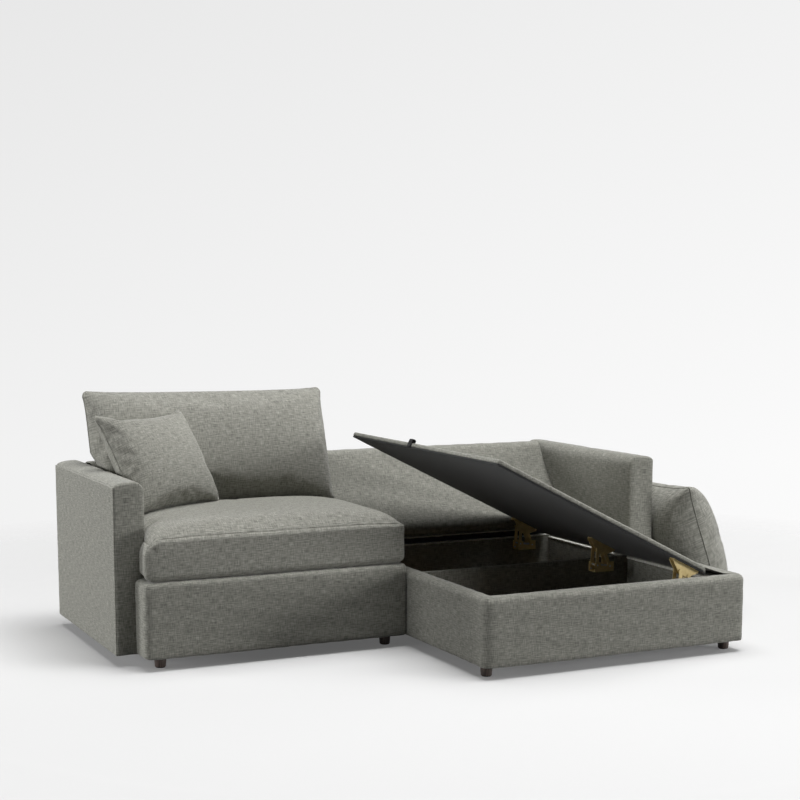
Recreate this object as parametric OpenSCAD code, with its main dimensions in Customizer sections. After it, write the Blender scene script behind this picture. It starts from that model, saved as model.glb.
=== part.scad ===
// Sectional sofa: a one-seat section with a left arm, beside a chaise on a storage box with a lift-up lid.
// Millimetres, +Z up, +X along the sofa to the sitter's left, +Y to the back, floor at zero.
// Shapes are written in the sofa's own frame: zero at the left arm's outer face and at the arms' front faces.

/* [Overall] */
// Distance between the outer faces of the two arms
sofa_w = 2225; // [2150:5:2400]
// Depth of the arms and backs, from the arms' front faces to the rear face
sofa_d = 830; // [800:5:900]
// Width of the left section, up to the chaise
section_w = 1061; // [1020:1:1100]
// Height of the seam along the arms' outer edges
seam_h = 632; // [600:1:680]
// Rise of the padded crown above that seam
crown_h = 17; // [10:1:22]
// Height of the feet
foot_h = 41; // [30:1:60]
// Diameter of a foot at its top
foot_d = 44; // [36:1:56]

/* [Arms and backs] */
// Thickness of an arm
arm_t = 112; // [100:1:140]
// Thickness of the flat outer panels
panel_t = 12; // [8:1:16]
// Padding over the frames
pad_t = 20; // [14:1:24]
// Radius of the padded inner edge
edge_r = 38; // [25:1:45]
// Rake of the back's front face from the vertical, in degrees
rake = 31.7; // [26:0.1:33]
// Height at which that face begins
face_z = 300; // [296:1:330]

/* [Left seat] */
// Distance from the arm's front face to the base's front face
nose = 126; // [110:1:170]
// Depth of the seat behind the arms' front faces
seat_d = 500; // [480:1:540]
// Height of the deck under the cushion
deck_h = 310; // [300:1:330]
// How far the base front runs across the arm's front face
wrap = 41; // [20:1:60]
// Number of sinuous springs
spring_count = 5; // [3:1:7]

/* [Chaise] */
// Distance from the arm's front face to the chaise's front face
chaise_nose = 730; // [650:5:850]
// Step in from the arm's outer face to the chaise's side face
chaise_inset = 88; // [70:1:100]
// Height of the storage box rim
rim_h = 286; // [270:1:300]
// Width of the padded rim
rim_t = 40; // [36:1:50]
// Width of the ledge under the lid's hinged side
ledge_w = 50; // [46:1:60]
// Distance from the arm's front face to the divider's front face
divider_y = 100; // [60:1:200]
// Thickness of the divider
divider_t = 18; // [12:1:25]

/* [Lid] */
// Thickness of the upholstered lid
lid_t = 22; // [18:1:24]
// Overlap of the lid on the left rim
lid_lap = 34; // [20:1:36]
// Cut across the lid's front corner on the hinged side, which dips past the front rim
lid_corner = 50; // [48:1:80]
// Angle at which the lid stands open, in degrees
lid_open = 26.7; // [20:0.1:28]
// Depth of a hinge bracket
bracket_d = 45; // [40:1:60]

/* [Cushions] */
// Width of the back cushions
cushion_w = 960; // [900:5:990]
// Height of the left back cushion, as it sits squeezed on the seat
cushion_h = 470; // [440:5:500]
// Thickness of the back cushions
cushion_t = 200; // [160:5:215]
// Height of the seat cushion's top seam over the deck
seat_band_h = 142; // [120:1:150]
// Rise of the seat cushion's crown above that seam
seat_crown = 66; // [40:1:70]
// Side of the throw pillow, from corner to corner
pillow_w = 404; // [360:2:420]
// Thickness of the throw pillow
pillow_t = 130; // [90:2:140]

/* [Hidden] */

$fn = 48;

fabric = [0.36, 0.37, 0.35];
fabric_light = [0.46, 0.47, 0.45];
black_cloth = [0.06, 0.06, 0.06];
timber = [0.72, 0.55, 0.36];
steel = [0.7, 0.7, 0.72];
zinc = [0.62, 0.47, 0.16];
dark_wood = [0.16, 0.11, 0.09];

// Running gap between loose or moving pieces
gap = 0.3;
// Half of the gap between the two sections
half_gap = 0.3;
// Thickness of plain cloth, and of the cloth under the frames
cloth_t = 3;
dust_t = 3;

// Places along the sofa
meet_left = section_w - half_gap;
meet_right = section_w + half_gap;
arm_in_left = arm_t;
arm_in_right = sofa_w - arm_t;
chaise_side = sofa_w - chaise_inset;

// Heights
base_z = foot_h;
frame_z = base_z + cloth_t;
crest_z = seam_h + crown_h;

// Frames
rail_t = 40;
side_rail_t = 25;
post_t = 40;
// How far the tops of the arm and back frames lie under the outer seam
frame_drop = 36;
arm_core = arm_t - panel_t - pad_t;
arm_core_top = seam_h - frame_drop;
back_post_t = 30;
back_posts = 5;
// Radii of the padded fronts, and of the turned-in edges under them
front_r = 28;
hem_r = 8;
// Chamfer along the outer panels' top edge
panel_edge = 3;

// A box between two corners
module box(low, high) {
    translate(low) cube(high - low);
}

// An outline in X and Z, carried along Y
module along_y(from, to) {
    translate([0, to, 0]) rotate([90, 0, 0]) linear_extrude(to - from) children();
}

// An outline in Y and Z, carried along X
module along_x(from, to) {
    translate([from, 0, 0]) rotate([90, 0, 90]) linear_extrude(to - from) children();
}

// A round bar along one axis, from a point
module bar_x(from, length, d) {
    translate(from) rotate([0, 90, 0]) cylinder(d = d, h = length);
}
module bar_y(from, length, d) {
    translate(from) rotate([-90, 0, 0]) cylinder(d = d, h = length);
}

// Points of an arc
function arc(c, r, from, to, steps = 8) =
    [for (i = [0:steps]) let (a = from + (to - from) * i / steps) c + r * [cos(a), sin(a)]];

// Right-hand pieces are the left-hand ones mirrored across the sofa
module to_right() {
    translate([sofa_w, 0, 0]) mirror([1, 0, 0]) children();
}

// Loose soft forms

// A closed form through rings of points, from the lowest ring to the highest, each closed by its middle point
module ring_form(rings) {
    n = len(rings[0]);
    m = len(rings);
    points = concat([for (r = rings) each r], [middle(rings[0]), middle(rings[m - 1])]);
    sides = [for (j = [0:m - 2], i = [0:n - 1]) let (a = j * n + i, b = j * n + (i + 1) % n)
        each [[a, b + n, b], [a, a + n, b + n]]];
    ends = [for (i = [0:n - 1]) let (k = (i + 1) % n)
        each [[i, k, m * n], [(m - 1) * n + k, (m - 1) * n + i, m * n + 1]]];
    polyhedron(points, concat(sides, ends));
}
function middle(ring) = [for (k = [0:2]) ring_sum(ring, k) / len(ring)];
function ring_sum(ring, k, i = 0) = i == len(ring) ? 0 : ring[i][k] + ring_sum(ring, k, i + 1);

// Outline of a knife-edge cushion, counter-clockwise: each point is [x, y, share of half width, share of half
// height].
// Its sides are drawn in between the corners by pull.
side_steps = 12;
function side_points(w, h, pull) = [for (i = [0:side_steps - 1]) let (t = 2 * i / side_steps - 1)
    [w / 2 * t, -h / 2 + pull * (1 - pow(t, 4)), t, -1]];
function pillow_outline(w, h, pull) = concat(
    side_points(w, h, pull),
    [for (p = side_points(h, w, pull)) [-p.y, p.x, -p[3], p[2]]],
    -side_points(w, h, pull),
    [for (p = side_points(h, w, pull)) [p.y, -p.x, p[3], -p[2]]]);
// Shares of the outline at which the rings lie, and the swelling of a panel over its seam
pillow_shares = [0.3, 0.55, 0.74, 0.87, 0.95, 0.985];
function swell(u, v, k) = sqrt((1 - pow(abs(u), k.x)) * (1 - pow(abs(v), k.y)));
// Rings of one cushion, lying in its own plane, back panel first. The powers k, along the width and the
// height, set how flat the panels are and how full their edges.
function panel_ring(o, s, half_t, k) = [for (p = o)
    [p.x * s, p.y * s, half_t * swell(s * p[2], s * p[3], k)]];
function pillow_rings(w, h, t, pull, k) = let (o = pillow_outline(w, h, pull), m = len(pillow_shares) - 1) concat(
    [for (i = [0:m]) panel_ring(o, pillow_shares[i], -t / 2, k)],
    [panel_ring(o, 1, 0, k)],
    [for (i = [0:m]) panel_ring(o, pillow_shares[m - i], t / 2, k)]);
// A point of the cushion's own plane, stood up in the sofa's frame on its width, height and thickness
function stood(p, at, right, up) = at + p.x * right + p.y * up + p.z * cross(right, up);
function stood_rings(rings, at, right, up) = [for (r = rings) [for (p = r) stood(p, at, right, up)]];

// The seat cushion's top: a crown over its seam, highest in the middle
cushion_left = arm_in_left + gap;
cushion_right = section_w - 12;
cushion_front = -nose - 10;
cushion_back = seat_d - gap;
seat_seam_z = deck_h + seat_band_h;
function seat_top(x, y) = let (
    u = (2 * x - cushion_left - cushion_right) / (cushion_right - cushion_left),
    v = (2 * y - cushion_front - cushion_back - 60) / (cushion_back + 60 - cushion_front))
    seat_seam_z + seat_crown * sqrt(max(0, 1 - pow(u, 4)) * max(0, 1 - pow(v, 4)));

// The back's raked face: how far back it lies at a height
function face_y(z) = seat_d + max(0, z - face_z) * tan(rake);

// Left back cushion
back_lean = 18.5;
back_up = [0, sin(back_lean), cos(back_lean)];
back_at = [(arm_in_left + section_w) / 2 - 37, 575, 695];
// What it rests on: it never dips into the seat's crown or the raked back
// and it stands beside the arm up to the arm's crest, bulging out over it above
function beside_arm(z) = arm_in_left + 1 - 0.8 * max(0, z - crest_z);
function rested_back(p) = [
    max(p.x, beside_arm(p.z)),
    min(p.y, face_y(p.z) - 2),
    max(p.z, seat_top(p.x, p.y) + 1.5)];

// Half of its thickness at a point, and how far back its front panel lies there
back_full = [5, 3.2];
back_pull = 10;
function back_half(u, v) = abs(u) < cushion_w / 2 && abs(v) < cushion_h / 2
    ? cushion_t / 2 * swell(2 * u / cushion_w, 2 * v / cushion_h, back_full) : 0;
function back_front_y(p) = let (
    u = p.x - back_at.x,
    h = back_half(u, (p.z - back_at.z) / back_up.z),
    v = (p.z - back_at.z - h * back_up.y) / back_up.z)
    back_at.y + v * back_up.y - back_half(u, v) * back_up.z;

// The chaise's back cushion, leaning on the right arm's outer face
lean_tilt = 20;
lean_up = [-sin(lean_tilt), 0, cos(lean_tilt)];
lean_h = 565;
lean_t = cushion_t + 90;
lean_top = [sofa_w + 75, 340, 530];
lean_at = lean_top - (lean_h / 2) * lean_up;
function rested_lean(p) = [max(p.x, sofa_w + gap), p.y, max(p.z, 0)];
lean_full = [8, 3.4];
lean_pull = 14;
lean_flat = pillow_rings(cushion_w, lean_h, lean_t, lean_pull, lean_full);
lean_rings = [for (r = stood_rings(lean_flat, lean_at, [0, 1, 0], lean_up)) [for (p = r) rested_lean(p)]];
reach_x = max([for (r = lean_rings, p = r) p.x]);

// Throw pillow
pillow_at = [285, 386, 683];
pillow_front = [0.32, -0.78, 0.54];
pillow_up_hint = [-0.23, 0.48, 0.84];
pillow_right = unit(cross(pillow_up_hint, pillow_front));
pillow_up = cross(unit(pillow_front), pillow_right);
pillow_full = [2.6, 2.6];
pillow_pull = 22;
function unit(p) = p / norm(p);

// The whole stands on the floor, centred
module centred() {
    translate([-reach_x / 2, (chaise_nose - sofa_d) / 2, 0]) children();
}

// Outer faces of the padded arms and backs

// Crown from a seam up and over to a padded edge: from the outer seam up to the crest
function crown_points(seam_x, crest_x) =
    [for (i = [0:7]) let (a = 90 * i / 7) [crest_x + (seam_x - crest_x) * cos(a), seam_h + crown_h * sin(a)]];

// Cross-section of a left arm without its outer panel, in X and Z
module arm_outline() {
    polygon(concat(
        [[arm_t, base_z], [panel_t, base_z]],
        crown_points(panel_t, arm_t - edge_r),
        arc([arm_t - edge_r, crest_z - edge_r], edge_r, 80, 0)));
}

// Cross-section of a back without its outer panel, in Y and Z
nose_c = [face_y(crest_z - edge_r * (1 - sin(rake))) + edge_r * cos(rake), crest_z - edge_r];
module back_outline() {
    polygon(concat(
        [[sofa_d - panel_t, base_z]],
        crown_points(sofa_d - panel_t, nose_c.x),
        arc(nose_c, edge_r, 100, 180 - rake, 5),
        [[seat_d, face_z], [seat_d, face_z - 1]],
        [[seat_d + pad_t, face_z - 1], [seat_d + pad_t, base_z]]));
}
// The same, drawn in by the padding, for the frame inside
module back_core_outline() {
    front_y = seat_d + pad_t;
    top_z = seam_h - frame_drop;
    polygon([
        [front_y, frame_z], [front_y, face_z],
        [front_y + (top_z - face_z) * tan(rake), top_z], [sofa_d - panel_t - cloth_t, top_z],
        [sofa_d - panel_t - cloth_t, frame_z]]);
}

// Feet

bolt_d = 8;
foot_socket = 22;
foot_in = 30;
front_foot_y = 78;
rear_foot_y = sofa_d - 60;
// How far a foot's bolt rises over the foot: a short one ends inside the storage floor
long_rise = 50;
short_rise = 16;
// Places of the feet, each with the rise of its bolt
left_feet_at = [
    [arm_in_left + foot_in, front_foot_y - nose, long_rise], [meet_left - 55, front_foot_y - nose, long_rise],
    [arm_in_left + foot_in, rear_foot_y, long_rise], [meet_left - 55, rear_foot_y, long_rise]];
right_feet_at = [
    [meet_right + 45, front_foot_y - chaise_nose, short_rise],
    [chaise_side - 40, front_foot_y - chaise_nose, short_rise],
    [meet_right + 45, rear_foot_y, long_rise], [arm_in_right - 40, rear_foot_y, long_rise]];
module feet(places) {
    for (p = places)
        translate([p.x, p.y, 0]) difference() {
            cylinder(d1 = foot_d - 6, d2 = foot_d, h = foot_h);
            translate([0, 0, foot_h - foot_socket]) cylinder(d = bolt_d, h = foot_socket + 1);
        }
}
// The bolts, which are also the tools that bore their holes
module foot_bolts(places) {
    for (p = places)
        translate([p.x, p.y, foot_h - foot_socket]) cylinder(d = bolt_d, h = foot_socket + p.z);
}

// Left seat

seat_low = [arm_in_left + cloth_t, -nose + pad_t, frame_z];
// Room under the deck's top for the springs and their pad
deck_t = 25;
seat_high = [meet_left - cloth_t, seat_d + pad_t, deck_h - deck_t];
wrap_x = arm_in_left - wrap;
// Cross ribs, and the blocks that the front feet are bolted into
rib_w = 30;
rib_h = 70;
block = 70;
block_h = 60;

module left_seat_frame() {
    color(timber) difference() {
        union() {
            difference() {
                box(seat_low, seat_high);
                box([seat_low.x + side_rail_t, seat_low.y + rail_t, seat_low.z - 1],
                    [seat_high.x - side_rail_t, seat_high.y - rail_t, seat_high.z + 1]);
            }
            box([wrap_x + pad_t, seat_low.y, seat_low.z], [seat_low.x, -gap - cloth_t, seat_high.z]);
            for (i = [1:3])
                let (x = seat_low.x + (seat_high.x - seat_low.x) * i / 4)
                    box([x - rib_w / 2, seat_low.y + rail_t, seat_low.z],
                        [x + rib_w / 2, seat_high.y - rail_t, seat_low.z + rib_h]);
            for (p = [left_feet_at[0], left_feet_at[1]])
                box([max(seat_low.x, p.x - block / 2), seat_low.y, seat_low.z],
                    [min(seat_high.x, p.x + block / 2), p.y + block / 2, seat_low.z + block_h]);
        }
        foot_bolts(left_feet_at);
        arm_bolt_bores();
    }
}

spring_wire = 4;
spring_swing = 22;
spring_loops = 12;
spring_end = 8;
// One sinuous spring, as the outline of a wire that swings from side to side while it runs along Y
module spring_outline(length) {
    steps = spring_loops * 4;
    line = [for (i = [0:steps]) [spring_swing * sin(i * 90), length * i / steps]];
    polygon(concat(
        [for (p = line) p + [spring_wire, 0]],
        [for (i = [steps:-1:0]) line[i] - [spring_wire, 0]]));
}
spring_x = [for (i = [0:spring_count - 1])
    seat_low.x + (seat_high.x - seat_low.x) * (i + 0.5) / spring_count];
spring_from = seat_low.y + rail_t - spring_end;
spring_to = seat_high.y - rail_t + spring_end;
module left_seat_springs() {
    color(steel) for (x = spring_x)
        translate([x, spring_from, seat_high.z])
            linear_extrude(spring_wire) spring_outline(spring_to - spring_from);
}
// Clips over the springs' ends, and how far each one's middle lies past the end
clip_w = 24;
clip_l = 14;
clip_out = 9;
module left_spring_clips() {
    color(steel) for (x = spring_x, y = [spring_from, spring_to]) {
        at = y + (y == spring_from ? -clip_out : clip_out);
        box([x - clip_w / 2, at - clip_l / 2, seat_high.z],
            [x + clip_w / 2, at + clip_l / 2, seat_high.z + spring_wire]);
    }
}

pad_in = 12;
deck_low = [seat_low.x + pad_in, seat_low.y + pad_in, seat_high.z + spring_wire];
deck_high = [seat_high.x - pad_in, seat_d - pad_in, deck_h];
module left_deck_pad() {
    color(black_cloth) box(deck_low, deck_high);
}

module left_base_cover() {
    r = front_r;
    rear = seat_d + pad_t;
    clip_room = [clip_w / 2 + 2, clip_out + clip_l / 2 + 4];
    color(fabric) difference() {
        intersection() {
            translate([0, 0, base_z]) linear_extrude(deck_h - base_z) polygon(concat(
                arc([wrap_x + r, -nose + r], r, 180, 270),
                arc([meet_left - 10, -nose + 10], 10, 270, 360, 4),
                [[meet_left, rear], [arm_in_left, rear], [arm_in_left, -gap], [wrap_x, -gap]]));
            along_x(0, sofa_w) polygon(concat(
                [[rear, base_z], [rear, face_z - 1], [seat_d, face_z - 1], [seat_d, deck_h]],
                arc([-nose + r, deck_h - r], r, 90, 180),
                arc([-nose + hem_r, base_z + hem_r], hem_r, 180, 270, 3)));
            along_y(-nose, rear) polygon(concat(
                [[meet_left, base_z], [meet_left, deck_h]],
                arc([wrap_x + r, deck_h - r], r, 90, 180),
                arc([wrap_x + hem_r, base_z + hem_r], hem_r, 180, 270, 3)));
        }
        box([seat_low.x, seat_low.y, base_z - 1], [seat_high.x, rear + 1, seat_high.z]);
        box([wrap_x + pad_t, seat_low.y, base_z - 1], [seat_low.x + 1, -gap - cloth_t, seat_high.z]);
        box([deck_low.x, deck_low.y, seat_high.z - 1], [deck_high.x, deck_high.y, deck_h + 1]);
        for (x = spring_x, y = [spring_from, spring_to])
            box([x - clip_room.x, y - clip_room.y, seat_high.z - 1],
                [x + clip_room.x, y + clip_room.y, seat_high.z + spring_wire]);
        arm_bolt_bores();
    }
}

// Arms, drawn as the left one

arm_low = [panel_t, pad_t, frame_z];
arm_high = [panel_t + arm_core, sofa_d - panel_t, arm_core_top];
// Heights of the arm's rails: along the floor, under the crest, and at the deck
arm_low_rail = 50;
arm_top_rail = 30;
arm_mid_rail = 40;
// Front faces of the arm's four posts
arm_post_y = [for (i = [0:3]) arm_low.y + (arm_high.y - arm_low.y - post_t) * i / 3];
module arm_frame() {
    low = arm_low;
    high = arm_high;
    difference() {
        union() {
            for (y = arm_post_y)
                translate([low.x, y, low.z]) cube([arm_core, post_t, high.z - low.z]);
            box(low, [high.x, high.y, low.z + arm_low_rail]);
            box([low.x, low.y, high.z - arm_top_rail], high);
            box([low.x, low.y, deck_h - 20 - arm_mid_rail], [high.x, high.y, deck_h - 20]);
        }
        arm_bolt_bores();
    }
}
module arm_cover() {
    difference() {
        along_y(0, sofa_d) arm_outline();
        box(arm_low - [1, 0, 0], arm_high);
        arm_bolt_bores();
    }
}
module arm_side_panel() {
    along_y(0, sofa_d) polygon([
        [panel_t, base_z], [panel_t, seam_h], [panel_edge, seam_h], [0, seam_h - panel_edge], [0, base_z]]);
}
// Bolts from inside the seat's side rail into the arm
arm_bolt_d = 8;
bolt_head_t = 5;
arm_bolt_from = arm_high.x - 30;
arm_bolt_y = [for (i = [0, 1]) arm_post_y[i] + post_t / 2];
arm_bolt_z = frame_z + 120;
module arm_bolts(inside) {
    for (y = arm_bolt_y) {
        bar_x([arm_bolt_from, y, arm_bolt_z], inside - arm_bolt_from, arm_bolt_d);
        bar_x([inside, y, arm_bolt_z], bolt_head_t, 2 * arm_bolt_d);
    }
}
module arm_bolt_bores() {
    for (y = arm_bolt_y)
        bar_x([arm_bolt_from, y, arm_bolt_z], arm_t + 60 - arm_bolt_from, arm_bolt_d);
}

module left_arm_frame() { color(timber) arm_frame(); }
module left_arm_cover() { color(fabric) arm_cover(); }
module left_arm_side_panel() { color(fabric_light) arm_side_panel(); }
module left_arm_bolts() { color(steel) arm_bolts(seat_low.x + side_rail_t); }

module right_arm_frame() { color(timber) to_right() arm_frame(); }
module right_arm_cover() { color(fabric) to_right() arm_cover(); }
module right_arm_side_panel() { color(fabric_light) to_right() arm_side_panel(); }
module right_arm_bolts() { color(steel) to_right() arm_bolts(arm_t + board_t); }

// Backs, between two places along the sofa

module back_frame(from, to, places) {
    low_x = from + cloth_t;
    high_x = to - cloth_t;
    pitch = (high_x - low_x - back_post_t) / (back_posts - 1);
    front_y = seat_d + pad_t;
    rear_y = sofa_d - panel_t - cloth_t;
    difference() {
        union() {
            for (i = [0:back_posts - 1])
                along_x(low_x + pitch * i, low_x + pitch * i + back_post_t) back_core_outline();
            box([low_x, front_y, frame_z], [high_x, front_y + rail_t, frame_z + 80]);
            box([low_x, rear_y - 90, frame_z], [high_x, rear_y, frame_z + 60]);
            box([low_x, rear_y - rail_t, seam_h - frame_drop - 60], [high_x, rear_y, seam_h - frame_drop]);
        }
        foot_bolts(places);
    }
}
// Straps across the raked front of the posts, and the pockets that clear them in the padding
strap_t = 2;
strap_w = 60;
strap_pitch = 100;
module back_webbing(from, to, depth = strap_t) {
    for (i = [0:2])
        translate([0, seat_d + pad_t, face_z]) rotate([-rake, 0, 0])
            translate([from + 2 * cloth_t, -strap_t, strap_w / 2 + i * strap_pitch])
                cube([to - from - 4 * cloth_t, depth, strap_w]);
}
module back_cover(from, to) {
    difference() {
        along_x(from, to) back_outline();
        along_x(from + cloth_t, to - cloth_t) back_core_outline();
        along_x(from + cloth_t, to - cloth_t) polygon([
            [seat_d + pad_t, base_z - 1], [seat_d + pad_t, frame_z + 1],
            [sofa_d - panel_t - cloth_t, frame_z + 1], [sofa_d - panel_t - cloth_t, base_z - 1]]);
        back_webbing(from, to, strap_t + 5);
    }
}
module back_panel(from, to) {
    along_x(from, to) polygon([
        [sofa_d - panel_t, base_z], [sofa_d - panel_t, seam_h], [sofa_d - panel_edge, seam_h],
        [sofa_d, seam_h - panel_edge], [sofa_d, base_z]]);
}

module left_back_frame() { color(timber) back_frame(arm_in_left, meet_left, left_feet_at); }
module left_back_webbing() { color(black_cloth) back_webbing(arm_in_left, meet_left); }
module left_back_cover() { color(fabric) back_cover(arm_in_left, meet_left); }
module left_back_panel() { color(fabric_light) back_panel(arm_in_left, meet_left); }
module right_back_frame() { color(timber) back_frame(meet_right, arm_in_right, right_feet_at); }
module right_back_webbing() { color(black_cloth) back_webbing(meet_right, arm_in_right); }
module right_back_cover() { color(fabric) back_cover(meet_right, arm_in_right); }
module right_back_panel() { color(fabric_light) back_panel(meet_right, arm_in_right); }

// Cloth, feet and bolts under each section

dust_z = frame_z - dust_t;
module left_dust_cover() {
    color(black_cloth) difference() {
        box([seat_low.x, seat_low.y, dust_z], [seat_high.x, sofa_d - panel_t - cloth_t, frame_z]);
        foot_bolts(left_feet_at);
    }
}
module left_feet() { color(dark_wood) feet(left_feet_at); }
module left_foot_bolts() { color(steel) foot_bolts(left_feet_at); }

// Storage box of the chaise

board_t = 15;
lining_t = 5;
box_left = meet_right + rim_t;
box_right = chaise_side - rim_t - 6 - ledge_w;
box_front = -chaise_nose + rim_t;
box_back = seat_d;
floor_t = 10;
floor_z = frame_z + 6;
side_z = rim_h - 16;
ledge_z = side_z + cloth_t;

// Timber ring: outside of the boards and inside of the boards
ring_low = [meet_right + pad_t, -chaise_nose + pad_t, frame_z];
ring_high_front = [chaise_side - pad_t, -gap - cloth_t, side_z];
ring_high_back = [arm_in_right, box_back + lining_t + board_t, side_z];

// A box the size of the storage space, drawn in by an inset, between two heights
module box_space(inset, from, to) {
    box([box_left + inset, box_front + inset, from], [box_right - inset, box_back - inset, to]);
}

module storage_box_frame() {
    // Right wall's outer face; the hollows beyond it give access to the bolts
    side_x = box_right + lining_t + board_t;
    color(timber) difference() {
        union() {
            box(ring_low, ring_high_front);
            box([ring_low.x, -gap - cloth_t - 1, ring_low.z], ring_high_back);
        }
        box_space(-lining_t, floor_z, side_z + 1);
        box_space(board_t, frame_z - 1, floor_z + 1);
        box([side_x, box_front + pad_t, frame_z - 1],
            [ring_high_front.x - board_t, -4 * board_t, side_z - board_t]);
        box([side_x, pad_t, frame_z - 1], [arm_in_right - board_t, seat_d - pad_t, side_z - board_t]);
        bracket_screw_bores();
        to_right() arm_bolt_bores();
        foot_bolts(right_feet_at);
    }
}

module storage_box_cover() {
    r = front_r;
    color(fabric) difference() {
        intersection() {
            translate([0, 0, base_z]) linear_extrude(rim_h - base_z) polygon(concat(
                arc([meet_right + r, -chaise_nose + r], r, 180, 270),
                arc([chaise_side - r, -chaise_nose + r], r, 270, 360),
                [[chaise_side, -gap], [arm_in_right, -gap]],
                [[arm_in_right, seat_d + pad_t], [meet_right, seat_d + pad_t]]));
            along_x(0, sofa_w) polygon(concat(
                [[seat_d + pad_t, base_z], [seat_d + pad_t, side_z], [seat_d, side_z], [seat_d, rim_h]],
                arc([-chaise_nose + r, rim_h - r], r, 90, 180),
                arc([-chaise_nose + hem_r, base_z + hem_r], hem_r, 180, 270, 3)));
            along_y(-chaise_nose, seat_d + pad_t) polygon(concat(
                arc([chaise_side - hem_r, base_z + hem_r], hem_r, 270, 360, 3),
                arc([chaise_side - r, rim_h - r], r, 0, 90),
                arc([meet_right + r, rim_h - r], r, 90, 180),
                arc([meet_right + hem_r, base_z + hem_r], hem_r, 180, 270, 3)));
        }
        box([ring_low.x, ring_low.y, base_z - 1], ring_high_front);
        box([ring_low.x, -gap - cloth_t - 1, base_z - 1], [arm_in_right + 1, seat_d + pad_t + 1, side_z]);
        box([box_left, box_front, side_z - 1], [box_right, seat_d + 1, rim_h + 1]);
        box([box_right - 1, box_front, ledge_z], [box_right + ledge_w, seat_d + 1, rim_h + 1]);
        box([box_right - 1, -gap - cloth_t - 1, ledge_z], [chaise_side + 1, seat_d + 1, rim_h + 1]);
    }
}

// Cloth on the inner walls of the box
module storage_lining() {
    color(black_cloth) difference() {
        box_space(-lining_t, floor_z + floor_t, side_z);
        box_space(0, floor_z, rim_h);
        bracket_screw_bores();
    }
}
module storage_floor() {
    color(timber) difference() {
        box_space(-lining_t, floor_z, floor_z + floor_t);
        foot_bolts(right_feet_at);
    }
}
module storage_divider() {
    color(fabric) difference() {
        box([box_left, -divider_y, floor_z + floor_t], [box_right, -divider_y + divider_t, side_z - 2]);
        bracket_screw_bores();
    }
}
module rear_strip() {
    color(black_cloth)
        box([box_left - lining_t, box_back + cloth_t, side_z], [arm_in_right, box_back + pad_t, face_z - 1]);
}

// Lid

lid_low_closed = [box_left - lid_lap, box_front - 10, rim_h + gap];
lid_high_closed = [box_right + 25, seat_d - 8, rim_h + gap + lid_t];
lid_pole = [box_right - 23, 0, rim_h + 120];
lid_lining_t = 2;
lid_edge_t = 5;
lid_top_t = 8;
lid_r = 6;

// Places something built on the closed lid where the lid stands open
module opened() {
    translate(lid_pole) rotate([0, lid_open, 0]) translate(-lid_pole) children();
}
// One layer of the closed lid between two heights, drawn in all round by an inset
module lid_layer(inset, from, to) {
    low = lid_low_closed;
    high = lid_high_closed;
    cut = lid_corner - (2 - sqrt(2)) * inset;
    translate([0, 0, from]) linear_extrude(to - from) polygon([
        [low.x + inset, low.y + inset], [high.x - inset - cut, low.y + inset],
        [high.x - inset, low.y + inset + cut], [high.x - inset, high.y - inset],
        [low.x + inset, high.y - inset]]);
}
board_z = lid_low_closed.z + lid_lining_t;
board_top = lid_high_closed.z - lid_top_t;
module lid_board() {
    color(timber) opened() difference() {
        lid_layer(lid_edge_t, board_z, board_top);
        lid_screw_bores();
    }
}
module lid_cover() {
    low = lid_low_closed;
    high = lid_high_closed;
    r = lid_r;
    color(fabric_light) opened() difference() {
        intersection() {
            along_y(low.y, high.y) polygon(concat(
                [[low.x, low.z], [high.x, low.z]],
                arc([high.x - r, high.z - r], r, 0, 90, 4),
                arc([low.x + r, high.z - r], r, 90, 180, 4)));
            lid_layer(0, low.z, high.z);
        }
        lid_layer(lid_edge_t, low.z - 1, board_top);
    }
}
module lid_lining() {
    color(black_cloth) opened() difference() {
        lid_layer(lid_edge_t, lid_low_closed.z, board_z);
        lid_screw_bores();
    }
}
tab_w = 26;
tab_t = 4;
tab_y = -25;
module lid_pull_tab() {
    color(black_cloth) opened() difference() {
        box([lid_low_closed.x - tab_t, tab_y - tab_w / 2, lid_low_closed.z + 1],
            [lid_low_closed.x + 10, tab_y + tab_w / 2, lid_high_closed.z + tab_t]);
        box([lid_low_closed.x, tab_y - tab_w, lid_low_closed.z - 1],
            [lid_low_closed.x + 11, tab_y + tab_w, lid_high_closed.z]);
    }
}

// Lift hinges: each is a tray on the box, two pairs of link arms and a bracket under the lid

plate_t = 2.5;
tray_w = 86;
tray_h = 38;
tray_x = box_right - 179;
tray_z = side_z - 50;
pin_d = 7;
// Axes of the left and right arms on the tray, and the arms' lengths between axes
left_pin = [tray_x + 12, 0, tray_z + 27];
right_pin = [tray_x + 69, 0, tray_z + 20];
left_arm_l = 62;
right_arm_l = 50;
arm_w = 14;
link_gap = 0.5;

// Each hinge's y range: rear one on the rear wall, middle one on the divider, front one on the front wall
hinge_y = [box_back - bracket_d, -divider_y - bracket_d, box_front];
// Whether the mounting cheek is the one at the higher y
mount_rear = [true, true, false];

// Half of the angle through which an arm swings as the lid moves between closed and open
function half_swing(pin, l) = asin(norm(pin - lid_pole) * sin(lid_open / 2) / l) - lid_open / 2;
// The arm's lean from the vertical, towards the hinged side, while the lid stands open
function open_lean(pin, l) = atan2(lid_pole.x - pin.x, lid_pole.z - pin.z) - half_swing(pin, l);
left_lean = open_lean(left_pin, left_arm_l);
right_lean = open_lean(right_pin, right_arm_l);

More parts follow.
